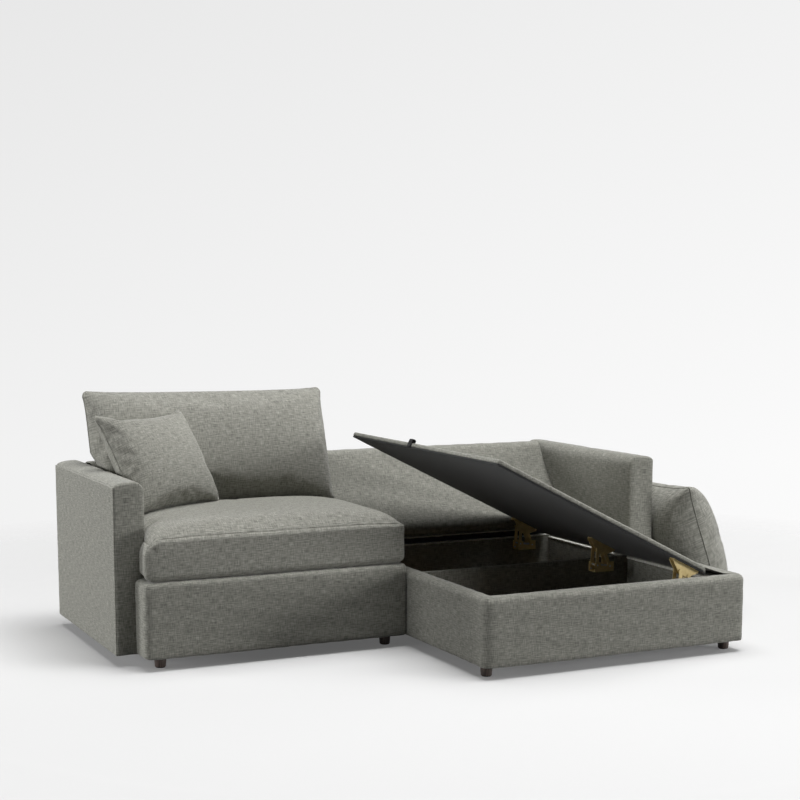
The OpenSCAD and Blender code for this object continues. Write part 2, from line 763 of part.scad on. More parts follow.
// Cheek of the tray: low in the middle, with an ear round each pin
tray_low_h = 20;
left_ear_w = 26;
right_ear_w = 29;
module tray_cheek() {
    difference() {
        union() {
            translate([tray_x, tray_z]) square([tray_w, tray_low_h]);
            translate([tray_x, tray_z]) square([left_ear_w, tray_h]);
            translate([tray_x + tray_w - right_ear_w, tray_z]) square([right_ear_w, tray_h]);
        }
        translate([left_pin.x, left_pin.z]) circle(d = pin_d);
        translate([right_pin.x, right_pin.z]) circle(d = pin_d);
    }
}
module hinge_lower_brackets() {
    color(zinc) difference() {
        for (y = hinge_y) {
            along_y(y, y + plate_t) tray_cheek();
            along_y(y + bracket_d - plate_t, y + bracket_d) tray_cheek();
            box([tray_x, y, tray_z], [tray_x + tray_w, y + bracket_d, tray_z + plate_t]);
        }
        bracket_screw_bores();
    }
}
module hinge_pins() {
    color(steel) for (y = hinge_y, p = [left_pin, right_pin])
        bar_y([p.x, y, p.z], bracket_d, pin_d);
}
// A helper spring between the two pins
spring_d = 9;
module hinge_springs() {
    span = right_pin - left_pin;
    color(steel) for (y = hinge_y)
        translate(left_pin + [0, y + bracket_d / 2, 0]) rotate([0, 90 - atan2(span.z, span.x), 0])
            translate([0, 0, pin_d / 2]) cylinder(d = spring_d, h = norm(span) - pin_d);
}

// One link arm, standing straight up from its pin's axis
module link(l, from) {
    along_y(from, from + plate_t) difference() {
        union() {
            circle(d = arm_w);
            translate([-arm_w / 2, 0]) square([arm_w, l]);
            translate([0, l]) circle(d = arm_w);
        }
        circle(d = pin_d + 0.2);
    }
}
module link_pair(pin, l, lean, inset) {
    for (y = hinge_y)
        translate([pin.x, y, pin.z]) rotate([0, lean, 0]) {
            link(l, inset);
            link(l, bracket_d - inset - plate_t);
        }
}
left_inset = plate_t + link_gap;
right_inset = left_inset + plate_t + link_gap;
module hinge_left_arms() { color(zinc) link_pair(left_pin, left_arm_l, left_lean, left_inset); }
module hinge_right_arms() { color(zinc) link_pair(right_pin, right_arm_l, right_lean, right_inset); }

// Bracket under the lid: a web against the lining and two tapered cheeks beside the arms' free ends
upper_inset = right_inset + plate_t + link_gap;
upper_from = tray_x + 29;
upper_w = 120;
upper_h = 40;
upper_rim = 8;
// The cheek's lower edge, from its left end to its right end
upper_toe = [46, 84];
module upper_cheek() {
    z = lid_low_closed.z;
    polygon([
        [upper_from, z], [upper_from + upper_w, z], [upper_from + upper_w, z - upper_rim],
        [upper_from + upper_toe[1], z - upper_h], [upper_from + upper_toe[0], z - upper_h],
        [upper_from, z - upper_rim]]);
}
module hinge_upper_brackets() {
    color(zinc) opened() difference() {
        for (y = hinge_y) {
            along_y(y + upper_inset, y + upper_inset + plate_t) upper_cheek();
            along_y(y + bracket_d - upper_inset - plate_t, y + bracket_d - upper_inset) upper_cheek();
            box([upper_from, y + upper_inset, lid_low_closed.z - plate_t],
                [upper_from + upper_w, y + bracket_d - upper_inset, lid_low_closed.z]);
        }
        lid_screw_bores();
    }
}

// Screws of the brackets
screw_d = 4;
screw_head_d = 8;
screw_head_t = 2;
screw_l = 12;
lid_screw_x = [upper_from + 14, upper_from + upper_w - 14];
module lid_screws() {
    color(steel) opened() for (y = hinge_y, x = lid_screw_x)
        translate([x, y + bracket_d / 2, lid_low_closed.z - plate_t]) {
            translate([0, 0, -screw_head_t]) cylinder(d = screw_head_d, h = screw_head_t);
            cylinder(d = screw_d, h = screw_l);
        }
}
module lid_screw_bores() {
    for (y = hinge_y, x = lid_screw_x)
        translate([x, y + bracket_d / 2, lid_low_closed.z - plate_t]) cylinder(d = screw_d, h = screw_l);
}
bracket_screw_x = [tray_x + 8, tray_x + tray_w - 8];
module bracket_screws() {
    color(steel) for (i = [0:2], x = bracket_screw_x)
        bracket_screw(i, x, true);
}
module bracket_screw(i, x, head) {
    side = mount_rear[i] ? 1 : -1;
    face = mount_rear[i] ? hinge_y[i] + bracket_d - plate_t : hinge_y[i] + plate_t;
    translate([x, face, tray_z + 9]) rotate([-90 * side, 0, 0]) {
        if (head) translate([0, 0, -screw_head_t]) cylinder(d = screw_head_d, h = screw_head_t);
        cylinder(d = screw_d, h = screw_l + lining_t);
    }
}
module bracket_screw_bores() {
    for (i = [0:2], x = bracket_screw_x)
        bracket_screw(i, x, false);
}

// Under the chaise

module right_dust_cover() {
    color(black_cloth) difference() {
        union() {
            box([ring_low.x, ring_low.y, dust_z], [ring_high_front.x, ring_high_front.y, frame_z]);
            box([ring_low.x, ring_high_front.y, dust_z], [arm_in_right, seat_d, frame_z]);
            box([ring_low.x, seat_d, dust_z], [arm_in_right - cloth_t, sofa_d - panel_t - cloth_t, frame_z]);
        }
        foot_bolts(right_feet_at);
    }
}
module right_feet() { color(dark_wood) feet(right_feet_at); }
module right_foot_bolts() { color(steel) foot_bolts(right_feet_at); }

// Hooked plates under the frames that hold the two sections together

connector_w = 40;
connector_t = 3;
connector_y = [1.5 * connector_w, seat_d - 1.5 * connector_w];
// How far a tongue is screwed on under the left section, and how far it reaches into its socket
tongue_l = 60;
tongue_reach = 35;
// Where the socket begins, its length, the rim on each side, and the room past the tongue's tip
socket_in = 5;
socket_l = 55;
socket_rim = 8;
tip_room = 10;
module connector_tongues() {
    color(steel) for (y = connector_y)
        box([meet_left - tongue_l, y - connector_w / 2, dust_z - connector_t],
            [meet_right + tongue_reach, y + connector_w / 2, dust_z]);
}
module connector_sockets() {
    x = meet_right + socket_in;
    half_w = connector_w / 2;
    color(steel) for (y = connector_y) difference() {
        box([x, y - half_w - socket_rim, dust_z - 2 * connector_t - gap],
            [x + socket_l, y + half_w + socket_rim, dust_z]);
        box([x - 1, y - half_w - gap, dust_z - connector_t - gap],
            [meet_right + tongue_reach + tip_room, y + half_w + gap, dust_z + 1]);
    }
}

// Loose cushions

// Seat cushion outline: it wraps past the arm in front of it
wrap_left = wrap_x + 3;
module seat_cushion() {
    mid = [(cushion_left + cushion_right) / 2, (cushion_front + cushion_back) / 2];
    r = 22;
    pull = 5;
    n = 10;
    depth = cushion_back - cushion_front - 2 * r;
    outline = concat(
        arc([wrap_left + r, cushion_front + r], r, 180, 270, 4),
        [for (i = [1:n - 1]) [wrap_left + r + (cushion_right - wrap_left - 2 * r) * i / n, cushion_front]],
        arc([cushion_right - r, cushion_front + r], r, 270, 360, 4),
        [for (i = [1:n - 1]) let (t = i / n) [cushion_right - pull * 4 * t * (1 - t), cushion_front + r + depth * t]],
        arc([cushion_right - r, cushion_back - r], r, 0, 90, 3),
        [for (i = [1:n - 1])
            [cushion_right - r + (cushion_left - cushion_right + 2 * r) * i / n, cushion_back]],
        arc([cushion_left + r, cushion_back - r], r, 90, 180, 3),
        [for (i = [1:n - 3]) let (t = i / (n - 2))
            [cushion_left + pull * 4 * t * (1 - t), cushion_back - r + (r - cushion_back + 6) * t]],
        [[cushion_left, -gap - 1], [wrap_left + 8, -gap - 12], [wrap_left, -30]]);
    shares = [0.985, 0.95, 0.88, 0.75, 0.55, 0.3];
    low_z = deck_h + gap;
    rings = concat(
        [[for (p = outline) flat_at(mid, p, 0.5, low_z)]],
        [[for (p = outline) flat_at(mid, p, 0.985, low_z)]],
        [[for (p = outline) flat_at(mid, p, 1, low_z + 12)]],
        [[for (p = outline) flat_at(mid, p, 1, seat_seam_z - 3)]],
        [for (s = shares) [for (p = outline)
            let (q = flat_at(mid, p, s, 0)) [q.x, q.y, max(seat_seam_z, seat_top(q.x, q.y))]]]);
    color(fabric) ring_form(rings);
}
function flat_at(mid, p, s, z) = [mid.x + (p.x - mid.x) * s, mid.y + (p.y - mid.y) * s, z];

module back_cushion() {
    flat_rings = pillow_rings(cushion_w, cushion_h, cushion_t, back_pull, back_full);
    rings = stood_rings(flat_rings, back_at, [1, 0, 0], back_up);
    color(fabric_light) ring_form([for (r = rings) [for (p = r) rested_back(p)]]);
}
module throw_pillow() {
    flat_rings = pillow_rings(pillow_w, pillow_w, pillow_t, pillow_pull, pillow_full);
    rings = stood_rings(flat_rings, pillow_at, pillow_right, pillow_up);
    color(fabric_light) ring_form([for (r = rings) [for (p = r) [p.x, min(p.y, back_front_y(p) - 2), p.z]]]);
}
module chaise_back_cushion() {
    color(fabric_light) ring_form(lean_rings);
}

centred() left_seat_frame();
centred() left_seat_springs();
centred() left_spring_clips();
centred() left_deck_pad();
centred() left_base_cover();
centred() left_arm_frame();
centred() left_arm_cover();
centred() left_arm_side_panel();
centred() left_arm_bolts();
centred() left_back_frame();
centred() left_back_webbing();
centred() left_back_cover();
centred() left_back_panel();
centred() left_dust_cover();
centred() left_feet();
centred() left_foot_bolts();
centred() seat_cushion();
centred() back_cushion();
centred() throw_pillow();
centred() storage_box_frame();
centred() storage_box_cover();
centred() storage_lining();
centred() storage_floor();
centred() storage_divider();
centred() rear_strip();
centred() lid_board();
centred() lid_cover();
centred() lid_lining();
centred() lid_pull_tab();
centred() lid_screws();
centred() hinge_lower_brackets();
centred() hinge_pins();
centred() hinge_springs();
centred() hinge_left_arms();
centred() hinge_right_arms();
centred() hinge_upper_brackets();
centred() bracket_screws();
centred() right_arm_frame();
centred() right_arm_cover();
centred() right_arm_side_panel();
centred() right_arm_bolts();
centred() right_back_frame();
centred() right_back_webbing();
centred() right_back_cover();
centred() right_back_panel();
centred() right_dust_cover();
centred() right_feet();
centred() right_foot_bolts();
centred() chaise_back_cushion();
centred() connector_tongues();
centred() connector_sockets();
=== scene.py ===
"""Looks of a sectional sofa with a storage chaise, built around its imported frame.

Lengths are metres. Points are written in the sofa's own axes: x = 0 on the left arm's outer face, y = 0 on
the arms' front faces, z = 0 on the floor. `shift` carries them into the frame's axes.
"""
import math
import bpy
import numpy as np
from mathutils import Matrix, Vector


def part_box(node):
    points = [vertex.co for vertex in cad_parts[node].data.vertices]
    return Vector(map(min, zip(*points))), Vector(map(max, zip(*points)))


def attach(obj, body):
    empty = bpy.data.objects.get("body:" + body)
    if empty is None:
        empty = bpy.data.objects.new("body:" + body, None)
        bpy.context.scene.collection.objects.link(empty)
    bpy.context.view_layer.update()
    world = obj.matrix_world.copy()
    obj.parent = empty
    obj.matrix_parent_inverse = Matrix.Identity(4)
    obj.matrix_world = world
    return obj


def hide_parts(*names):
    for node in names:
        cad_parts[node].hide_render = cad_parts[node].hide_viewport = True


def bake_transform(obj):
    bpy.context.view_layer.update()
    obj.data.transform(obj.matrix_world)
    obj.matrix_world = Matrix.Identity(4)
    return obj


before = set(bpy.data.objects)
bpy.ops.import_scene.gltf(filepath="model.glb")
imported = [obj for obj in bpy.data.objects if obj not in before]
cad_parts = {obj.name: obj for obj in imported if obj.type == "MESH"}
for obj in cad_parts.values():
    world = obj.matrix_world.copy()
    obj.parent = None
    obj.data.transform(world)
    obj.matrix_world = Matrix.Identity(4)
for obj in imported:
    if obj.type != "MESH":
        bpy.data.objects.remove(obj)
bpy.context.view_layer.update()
shift = np.array([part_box("left_arm_side_panel")[0][0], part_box("left_arm_cover")[0][1], 0.0])

# Measures of the sofa, the same as in its drawing
sofa_w, sofa_d, section_w = 2.225, 0.830, 1.061
gap = 0.0003
base_z, seam_z, crest_z = 0.041, 0.632, 0.649
arm_t, panel_t, edge_r, skin = 0.112, 0.012, 0.038, 0.003
rake = math.radians(31.7)
face_z = 0.300
nose, seat_d, deck_h, wrap = 0.126, 0.500, 0.310, 0.041
wrap_x, right_arm_x = arm_t - wrap, sofa_w - arm_t
arm_front, base_rear, ledge_rear = -0.002, 0.519, 0.499
meet_left, meet_right = section_w - gap, section_w + gap
chaise_nose, chaise_side = 0.730, sofa_w - 0.088
rim_h, rim_t, ledge_w, lining_t = 0.286, 0.040, 0.050, 0.005
side_z, floor_z = rim_h - 0.016, 0.060
box_left, box_right = meet_right + rim_t, chaise_side - rim_t - 0.006 - ledge_w
box_front = -chaise_nose + rim_t
lid_open = math.radians(26.7)
lid_low = np.array([box_left - 0.034, box_front - 0.010, rim_h + gap])
lid_high = np.array([box_right + 0.025, seat_d - 0.008, rim_h + gap + 0.022])
lid_pole = np.array([box_right - 0.023, 0.0, rim_h + 0.120])
lid_corner = 0.050
cushion_front, cushion_back = -nose - 0.010, seat_d - gap
cushion_left, cushion_right = arm_t + gap, section_w - 0.012
seat_seam, seat_crown = deck_h + 0.142, 0.066
# The swelling at the foot of a back: where it starts over the hem, its height, its top, and its fading out
roll_low, roll_h, roll_top, roll_fade = 0.012, 0.050, 0.062, 0.150
# Grid spacing on large cloth forms, and the width of the furrow along a seam
pace, furrow = 0.02, 0.0022


# Shapes: every one is a grid of points, reckoned from two numbers that run along its rows and columns

def unit(v):
    """Vectors divided by their lengths."""
    return v / np.maximum(np.linalg.norm(v, axis=-1, keepdims=True), 1e-12)


def joined(*coordinates):
    """Points, or texture places, from their coordinates. Any of these may be one number for all."""
    return np.stack(np.broadcast_arrays(*coordinates), -1)


def arc(x, y, r_x, r_y, turn):
    """Points on an ellipse: its centre, plus one radius times the turn's cosine and the other times its sine."""
    return joined(x + r_x * np.cos(turn), y + r_y * np.sin(turn))


def run_along(path):
    """How far along a path each of its points lies: the lengths of the steps before it, added up."""
    return np.concatenate([[0], np.cumsum(np.linalg.norm(np.diff(path, axis=0), axis=1))])


def stops(low, high, r_low, r_high, step):
    """Grid lines from low to high: four in each rounded edge, and about a step apart between them."""
    count = max(3, round((high - low - r_low - r_high) / step) + 1)
    return np.concatenate([np.linspace(low, low + r_low, 5)[:-1],
                           np.linspace(low + r_low, high - r_high, count),
                           np.linspace(high - r_high, high, 5)[1:]])


def finer(line, times):
    """The same grid lines with each space between them split into so many."""
    at = np.linspace(0, len(line) - 1, (len(line) - 1) * times + 1)
    return np.interp(at, np.arange(len(line)), line)


def soft_box(low, high, r, step, shape=None, lines=None, seam=0.0, times=1):
    """The six faces of a box with rounded edges. r is the radius of all, or those at low x, high x, low y,
    high y, low z and high z. Each point of the plain box is drawn onto the ellipsoid round the nearest point of
    the box without its edges. Where two faces meet, a seam of a given depth draws the cloth in."""
    low, high, r = np.array(low, float), np.array(high, float), np.array(np.broadcast_to(r, 6), float)
    grid = [stops(low[i], high[i], r[2 * i], r[2 * i + 1], step) for i in range(3)]
    for i, line in (lines or {}).items():
        grid[i] = line
    grid = [finer(line, times) for line in grid]
    patches = []
    for axis in range(3):
        a, b = (axis + 1) % 3, (axis + 2) % 3
        for side in (0, 1):
            p = np.empty((len(grid[a]), len(grid[b]), 3))
            p[..., a], p[..., b] = np.meshgrid(grid[a], grid[b], indexing="ij")
            p[..., axis] = (low, high)[side][axis]
            core = np.clip(p, low + r[0::2], high - r[1::2])
            reach = np.where(p < (low + high) / 2, r[0::2], r[1::2])
            edge = np.minimum(np.minimum(p[..., a] - low[a], high[a] - p[..., a]),
                              np.minimum(p[..., b] - low[b], high[b] - p[..., b]))
            out = unit((p - core) / reach)
            depth = (seam(p) if callable(seam) else seam) * np.exp(-(edge / furrow) ** 2)
            p = core + reach * out - depth[..., None] * out
            if shape:
                p = shape(p)
            patches.append((p, p[..., [(1, 0, 0)[axis], (2, 2, 1)[axis]]], side == 0))
    return patches


def caps_of(p, uv):
    """Flat caps over the first and last ring of a form, with their texture places."""
    return [(p[0, :-1], uv[0, :-1], True), (p[-1, :-1], uv[-1, :-1], False)]


def swept(outline, from_, to, end_r, step, shape):
    """A closed outline of (y, z) carried along x, its ends rounded by drawing the last rings in by up to end_r.
    The texture runs along x and round the outline."""
    ring = np.array(outline)
    along = unit(np.roll(ring, -1, 0) - np.roll(ring, 1, 0))
    inward = joined(-along[:, 1], along[:, 0])
    turn = np.linspace(0, np.pi / 2, 4)
    ends = end_r * (1 - np.cos(turn))
    count = max(2, round((to - from_ - 2 * end_r) / step) + 1)
    at = np.concatenate([from_ + ends, np.linspace(from_ + end_r, to - end_r, count)[1:-1],
                         (to - ends)[::-1]])
    drawn = end_r * (1 - np.sin(turn))
    inset = np.concatenate([drawn, np.zeros(count - 2), drawn[::-1]])
    ring = np.concatenate([ring, ring[:1]])
    inward = np.concatenate([inward, inward[:1]])
    flat = ring[None] + inset[:, None, None] * inward[None]
    p = shape(joined(at[:, None], flat[..., 0], flat[..., 1]))
    return [(p, joined(at[:, None], run_along(ring)[None]), False)], caps_of(p, flat)


def tube(path, r, sides=10, closed=False, flat=1.0, up=(0, 0, 1), wide=None):
    """A round or flattened bar along a path: r times the cosine of the turn to its side, and r times flat times
    the sine to its top. Its thin side faces up, or its wide side runs along wide."""
    path = np.array(path, float)
    if closed:
        ahead = unit(np.roll(path, -1, 0) - np.roll(path, 1, 0))
    else:
        ahead = unit(np.gradient(path, axis=0))
    side = unit(np.cross(ahead, np.array(up, float)) if wide is None else np.array(wide, float) + 0 * path)
    top = np.cross(side, ahead)
    a = np.linspace(0, 2 * np.pi, sides + 1)
    p = path[:, None] + r * (np.cos(a)[None, :, None] * side[:, None]
                             + flat * np.sin(a)[None, :, None] * top[:, None])
    uv = joined(run_along(path)[:, None], (a * r)[None])
    if closed:
        step = np.linalg.norm(path[0] - path[-1])
        p = np.concatenate([p, p[:1]])
        uv = np.concatenate([uv, uv[-1:] + np.array([step, 0])])
        return [(p, uv, False)], []
    return [(p, uv, False)], caps_of(p, p[..., :2])


def lathe(profile, centre):
    """A turned form round an upright axis, from its lowest profile point (radius, height) to its highest: each
    radius times the cosine and the sine of the turn, at its height."""
    profile = np.array(profile)
    a = np.linspace(0, 2 * np.pi, 49)
    r, z = profile[:, None, 0], profile[:, None, 1]
    p = joined(r * np.cos(a), r * np.sin(a), z) + np.array(centre)
    return [(p, joined(a * 0.02, z), True)], caps_of(p, p[..., :2])


def together(forms):
    """Several forms as one: all their grids, and all their caps."""
    return [grid for grids, _ in forms for grid in grids], [cap for _, caps in forms for cap in caps]


def uneven(p, amount, pitch, turn):
    """Slight unevenness of stuffed cloth: products of sine waves of about the given pitch move each point."""
    k = 2 * np.pi / pitch
    x, y, z = p[..., 0], p[..., 1], p[..., 2]
    wave = lambda a, b, c, t: np.sin(k * (a * x + b * y + c * z) + t)
    return p + amount * np.stack([
        wave(0.3, 1.0, 0.7, turn) * wave(0.2, -0.6, 0.9, 1.7 * turn),
        wave(1.0, 0.2, 0.8, turn + 2) * wave(-0.7, 0.3, 0.9, 2.3 * turn),
        wave(0.9, 0.8, 0.2, turn + 4) * wave(0.7, -1.0, 0.3, 1.3 * turn)], -1)


def unevenly(amount, pitch, turn):
    """The same unevenness, as the shape of a form."""
    return lambda p: uneven(p, amount, pitch, turn)


def mirrored(patches):
    """The right-hand twin of a left-hand form: as far from the sofa's right side as that is from its left."""
    def turn(points):
        points = points.copy()
        points[..., 0] = sofa_w - points[..., 0]
        return points
    return [(turn(p), uv, not flip) for p, uv, flip in patches]


def opened(p):
    """Places points of the closed lid where the lid stands open: turned about its pole."""
    x, z = p[..., 0] - lid_pole[0], p[..., 2] - lid_pole[2]
    c, s = math.cos(lid_open), math.sin(lid_open)
    return joined(lid_pole[0] + c * x + s * z, p[..., 1], lid_pole[2] - s * x + c * z)


# Pieces

def welded(patches, caps=()):
    """Points, faces and texture places of grids and flat caps, with one point wherever theirs meet, and the
    number that each grid point got. Points meet in cells of 0.02 mm, whose borders lie beside round measures."""
    points, faces, uvs, start = [], [], [], 0
    for p, uv, flip in patches:
        rows, cols = p.shape[:2]
        a = np.arange(rows - 1)[:, None] * cols + np.arange(cols - 1)
        q = np.stack([a, a + cols, a + cols + 1, a + 1], -1).reshape(-1, 4)
        q = q[:, ::-1] if flip else q
        points.append(p.reshape(-1, 3))
        uvs.append(np.asarray(uv, float).reshape(-1, 2)[q.ravel()])
        faces += (q + start).tolist()
        start += rows * cols
    for p, uv, flip in caps:
        order = np.arange(len(p))[::-1] if flip else np.arange(len(p))
        points.append(p)
        uvs.append(np.asarray(uv, float)[order])
        faces.append((order + start).tolist())
        start += len(p)
    points = np.concatenate(points)
    cell = np.round((points + 0.0000071234) / 0.00002).astype(int)
    _, first, number = np.unique(cell, axis=0, return_index=True, return_inverse=True)
    number = number.ravel()
    sides = np.array([len(f) for f in faces])
    corners = number[np.concatenate([np.array(f) for f in faces])]
    return points[first], np.split(corners, np.cumsum(sides)[:-1]), np.concatenate(uvs), number


def mesh_of(name, points, faces, uvs=None):
    mesh = bpy.data.meshes.new(name)
    mesh.from_pydata((points + shift).tolist(), [], [f.tolist() for f in faces])
    if uvs is not None:
        mesh.uv_layers.new(name="UVMap").data.foreach_set("uv", uvs.ravel())
    mesh.polygons.foreach_set("use_smooth", [True] * len(mesh.polygons))
    made = bpy.data.objects.new(name, mesh)
    bpy.context.collection.objects.link(made)
    return made


def piece(name, patches, material, body, nodes=(), caps=()):
    """One mesh object from grids and flat caps, riding on a body and standing for its nodes."""
    made = mesh_of(name, *welded(patches, caps)[:3])
    made.data.materials.append(material)
    if body:
        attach(made, body)
    if nodes:
        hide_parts(*nodes)
    return made


def upholstered(name, patches, nodes=(), caps=(), body="sofa"):
    """A padded piece in the sofa's cloth."""
    piece(name, patches, upholstery, body, nodes, caps)


# Materials

class Reckoned:
    """An output of a shader node that can be reckoned with: a + b, 2 * a and so on add Math nodes."""

    def __init__(self, tree, output):
        self.tree, self.output = tree, output

    def math(self, operation, *values):
        return self.node("ShaderNodeMath", 0, *values, operation=operation)

    def node(self, kind, out, *values, **settings):
        """Any node, fed with values or reckoned sockets in order, and one of its outputs."""
        made = self.tree.nodes.new(kind)
        named = {k: settings.pop(k) for k in list(settings) if k[0].isupper()}
        for key, value in settings.items():
            setattr(made, key, value)
        for i, value in list(enumerate(values)) + list(named.items()):
            socket = made.inputs[i if isinstance(i, int) else i.replace("_", " ")]
            if isinstance(value, Reckoned):
                self.tree.links.new(value.output, socket)
            else:
                socket.default_value = value
        return Reckoned(self.tree, made.outputs[out])

    def __add__(self, other): return self.math("ADD", self, other)
    def __radd__(self, other): return self.math("ADD", other, self)
    def __sub__(self, other): return self.math("SUBTRACT", self, other)
    def __rsub__(self, other): return self.math("SUBTRACT", other, self)
    def __mul__(self, other): return self.math("MULTIPLY", self, other)
    def __rmul__(self, other): return self.math("MULTIPLY", other, self)
    def sin(self): return self.math("SINE", self)
    def clamp(self, low, high): return self.math("MINIMUM", self.math("MAXIMUM", self, low), high)
    def over(self, low, high):
        """0 up to low, 1 from high on, and straight between them."""
        return self.node("ShaderNodeMapRange", 0, self, low, high)
    def noise(self, size, detail=2.0, stretch=(1, 1, 1)):
        """Noise with features of about a size in metres, longer along an axis whose stretch is larger."""
        shrink = tuple(1 / s for s in stretch)
        scaled = self.node("ShaderNodeVectorMath", 0, self, shrink, operation="MULTIPLY")
        return self.node("ShaderNodeTexNoise", 0, Vector=scaled, Scale=1 / size, Detail=detail)
    def parts(self):
        """Its x, y and z."""
        split = self.node("ShaderNodeSeparateXYZ", 0, self)
        return [Reckoned(self.tree, o) for o in split.output.node.outputs]
    def colours(self, *stops):
        """A colour for each value: stops are (value, (r, g, b))."""
        ramp = self.node("ShaderNodeValToRGB", 0, self)
        band = ramp.output.node.color_ramp
        while len(band.elements) < len(stops):
            band.elements.new(0.5)
        for element, (at, colour) in zip(band.elements, stops):
            element.position, element.color = at, (*colour, 1)
        return ramp


def material(name, roughness=0.8, sheen=0.0, metallic=0.0, specular=0.3):
    """A new material, its shader, and the places that its nodes can read: texture places in metres, and the
    object's own."""
    made = bpy.data.materials.new(name)
    made.use_nodes = True
    shader = made.node_tree.nodes["Principled BSDF"]
    for socket, value in (("Roughness", roughness), ("Metallic", metallic), ("Specular IOR Level", specular),
                          ("Sheen Weight", sheen), ("Sheen Roughness", 0.45)):
        shader.inputs[socket].default_value = value
    places = made.node_tree.nodes.new("ShaderNodeTexCoord")
    uv = Reckoned(made.node_tree, places.outputs["UV"])
    own = Reckoned(made.node_tree, places.outputs["Object"])
    return made, shader, uv, own


def finish(shader, colour, height, depth, strength=0.6, roughness=None):
    """Gives a shader its colour, the relief of a height over the surface, and a roughness that varies."""
    links = shader.id_data.links
    links.new(colour.output, shader.inputs["Base Color"])
    if roughness is not None:
        links.new(roughness.output, shader.inputs["Roughness"])
    bump = height.node("ShaderNodeBump", 0, Height=height, Strength=strength, Distance=depth)
    links.new(bump.output, shader.inputs["Normal"])


def woven(name, colour, sheen=0.2):
    """Heathered weave: warp and weft threads over and under each other, thick and thin slubs both ways, and
    light and dark fibres mixed in each thread. colour is the middle tone."""
    made, shader, uv, _ = material(name, roughness=0.9, sheen=sheen, specular=0.15)
    u, v, _ = uv.parts()
    k = 2 * math.pi / 0.0034
    wander = uv.noise(0.02) * 3.0
    warp = (u * k + wander).sin() * 0.5 + 0.5
    weft = (v * k + wander).sin() * 0.5 + 0.5
    threads = warp * weft + (1 - warp) * (1 - weft)
    slub_weft = uv.noise(0.0033, 1.0, (9, 1, 1))
    slub_warp = uv.noise(0.0031, 1.0, (1, 8, 1))
    fibre = uv.noise(0.0022, 2.0)
    cloud = uv.noise(0.09, 2.0)
    tone = slub_weft * 0.66 + slub_warp * 0.55 + fibre * 0.10 + threads * 0.10 + cloud * 0.04 - 0.225
    c = np.array(colour)
    heather = tone.clamp(0.0, 1.0).colours((0.28, tuple(c * 0.56)), (0.5, tuple(c)), (0.72, tuple(c * 1.48)))
    height = threads * 0.5 + slub_weft * 0.6 + slub_warp * 0.5 + fibre * 0.25
    finish(shader, heather, height, depth=0.0008)
    return made


def plain_cloth(name, colour, pitch=0.0012):
    """Fine plain weave with faint streaks."""
    made, shader, uv, _ = material(name, roughness=0.85, sheen=0.1, specular=0.2)
    u, v, _ = uv.parts()
    k = 2 * math.pi / pitch
    threads = (u * k).sin() * (v * k).sin()
    streak = uv.noise(0.006, 2.0, (6, 1, 1)) + uv.noise(0.006, 2.0, (1, 6, 1))
    c = np.array(colour)
    tone = (streak * 0.5 + threads * 0.06).clamp(0.0, 1.0)
    tone = tone.colours((0.3, tuple(c * 0.75)), (0.7, tuple(c * 1.25)))
    finish(shader, tone, threads + streak, depth=0.0003)
    return made


def timber(name, light, dark, pitch=0.018, roughness=0.55):
    """Sawn wood: growth rings cut lengthwise, with fine pores."""
    made, shader, _, own = material(name, roughness=roughness)
    warped = own.noise(0.35, 2.0, (6, 6, 1)) * 9.0
    x, y, _ = own.parts()
    rings = ((x + y * 0.7) * (2 * math.pi / pitch) + warped).sin() * 0.5 + 0.5
    pores = own.noise(0.0015, 2.0, (1, 1, 24))
    tone = (rings * 0.6 + pores * 0.4).colours((0.2, dark), (0.8, light))
    finish(shader, tone, pores + rings * 0.3, depth=0.0003)
    return made


def plated(name, light, dark, roughness, metallic):
    """Plated steel: clouded colour, fine scratches and a rougher bloom here and there."""
    made, shader, _, own = material(name, roughness=roughness, metallic=metallic, specular=0.5)
    cloud = own.noise(0.02, 3.0)
    scratch = own.noise(0.0012, 2.0, (12, 1, 1))
    finish(shader, cloud.colours((0.3, dark), (0.7, light)), scratch, depth=0.00008, strength=0.3,
           roughness=(cloud * 0.25 + scratch * 0.2 + roughness - 0.2))
    return made


def smooth_field(field, rows, cols):
    """A field on a coarse grid, read off on a finer one along cubic curves through its points. At each point
    the curve runs in line with the points before and after it."""
    for axis, count in ((0, rows), (1, cols)):
        n = field.shape[axis]
        at = np.linspace(0, n - 1, count)
        i = np.clip(at.astype(int), 0, n - 2)
        t = (at - i).reshape([-1, 1, 1] if axis == 0 else [1, -1, 1])
        a, b, c, d = (np.take(field, np.clip(i + k, 0, n - 1), axis) for k in (-1, 0, 1, 2))
        field = b + 0.5 * t * (c - a + t * (2 * a - 5 * b + 4 * c - d + t * (3 * (b - c) + d - a)))
    return field


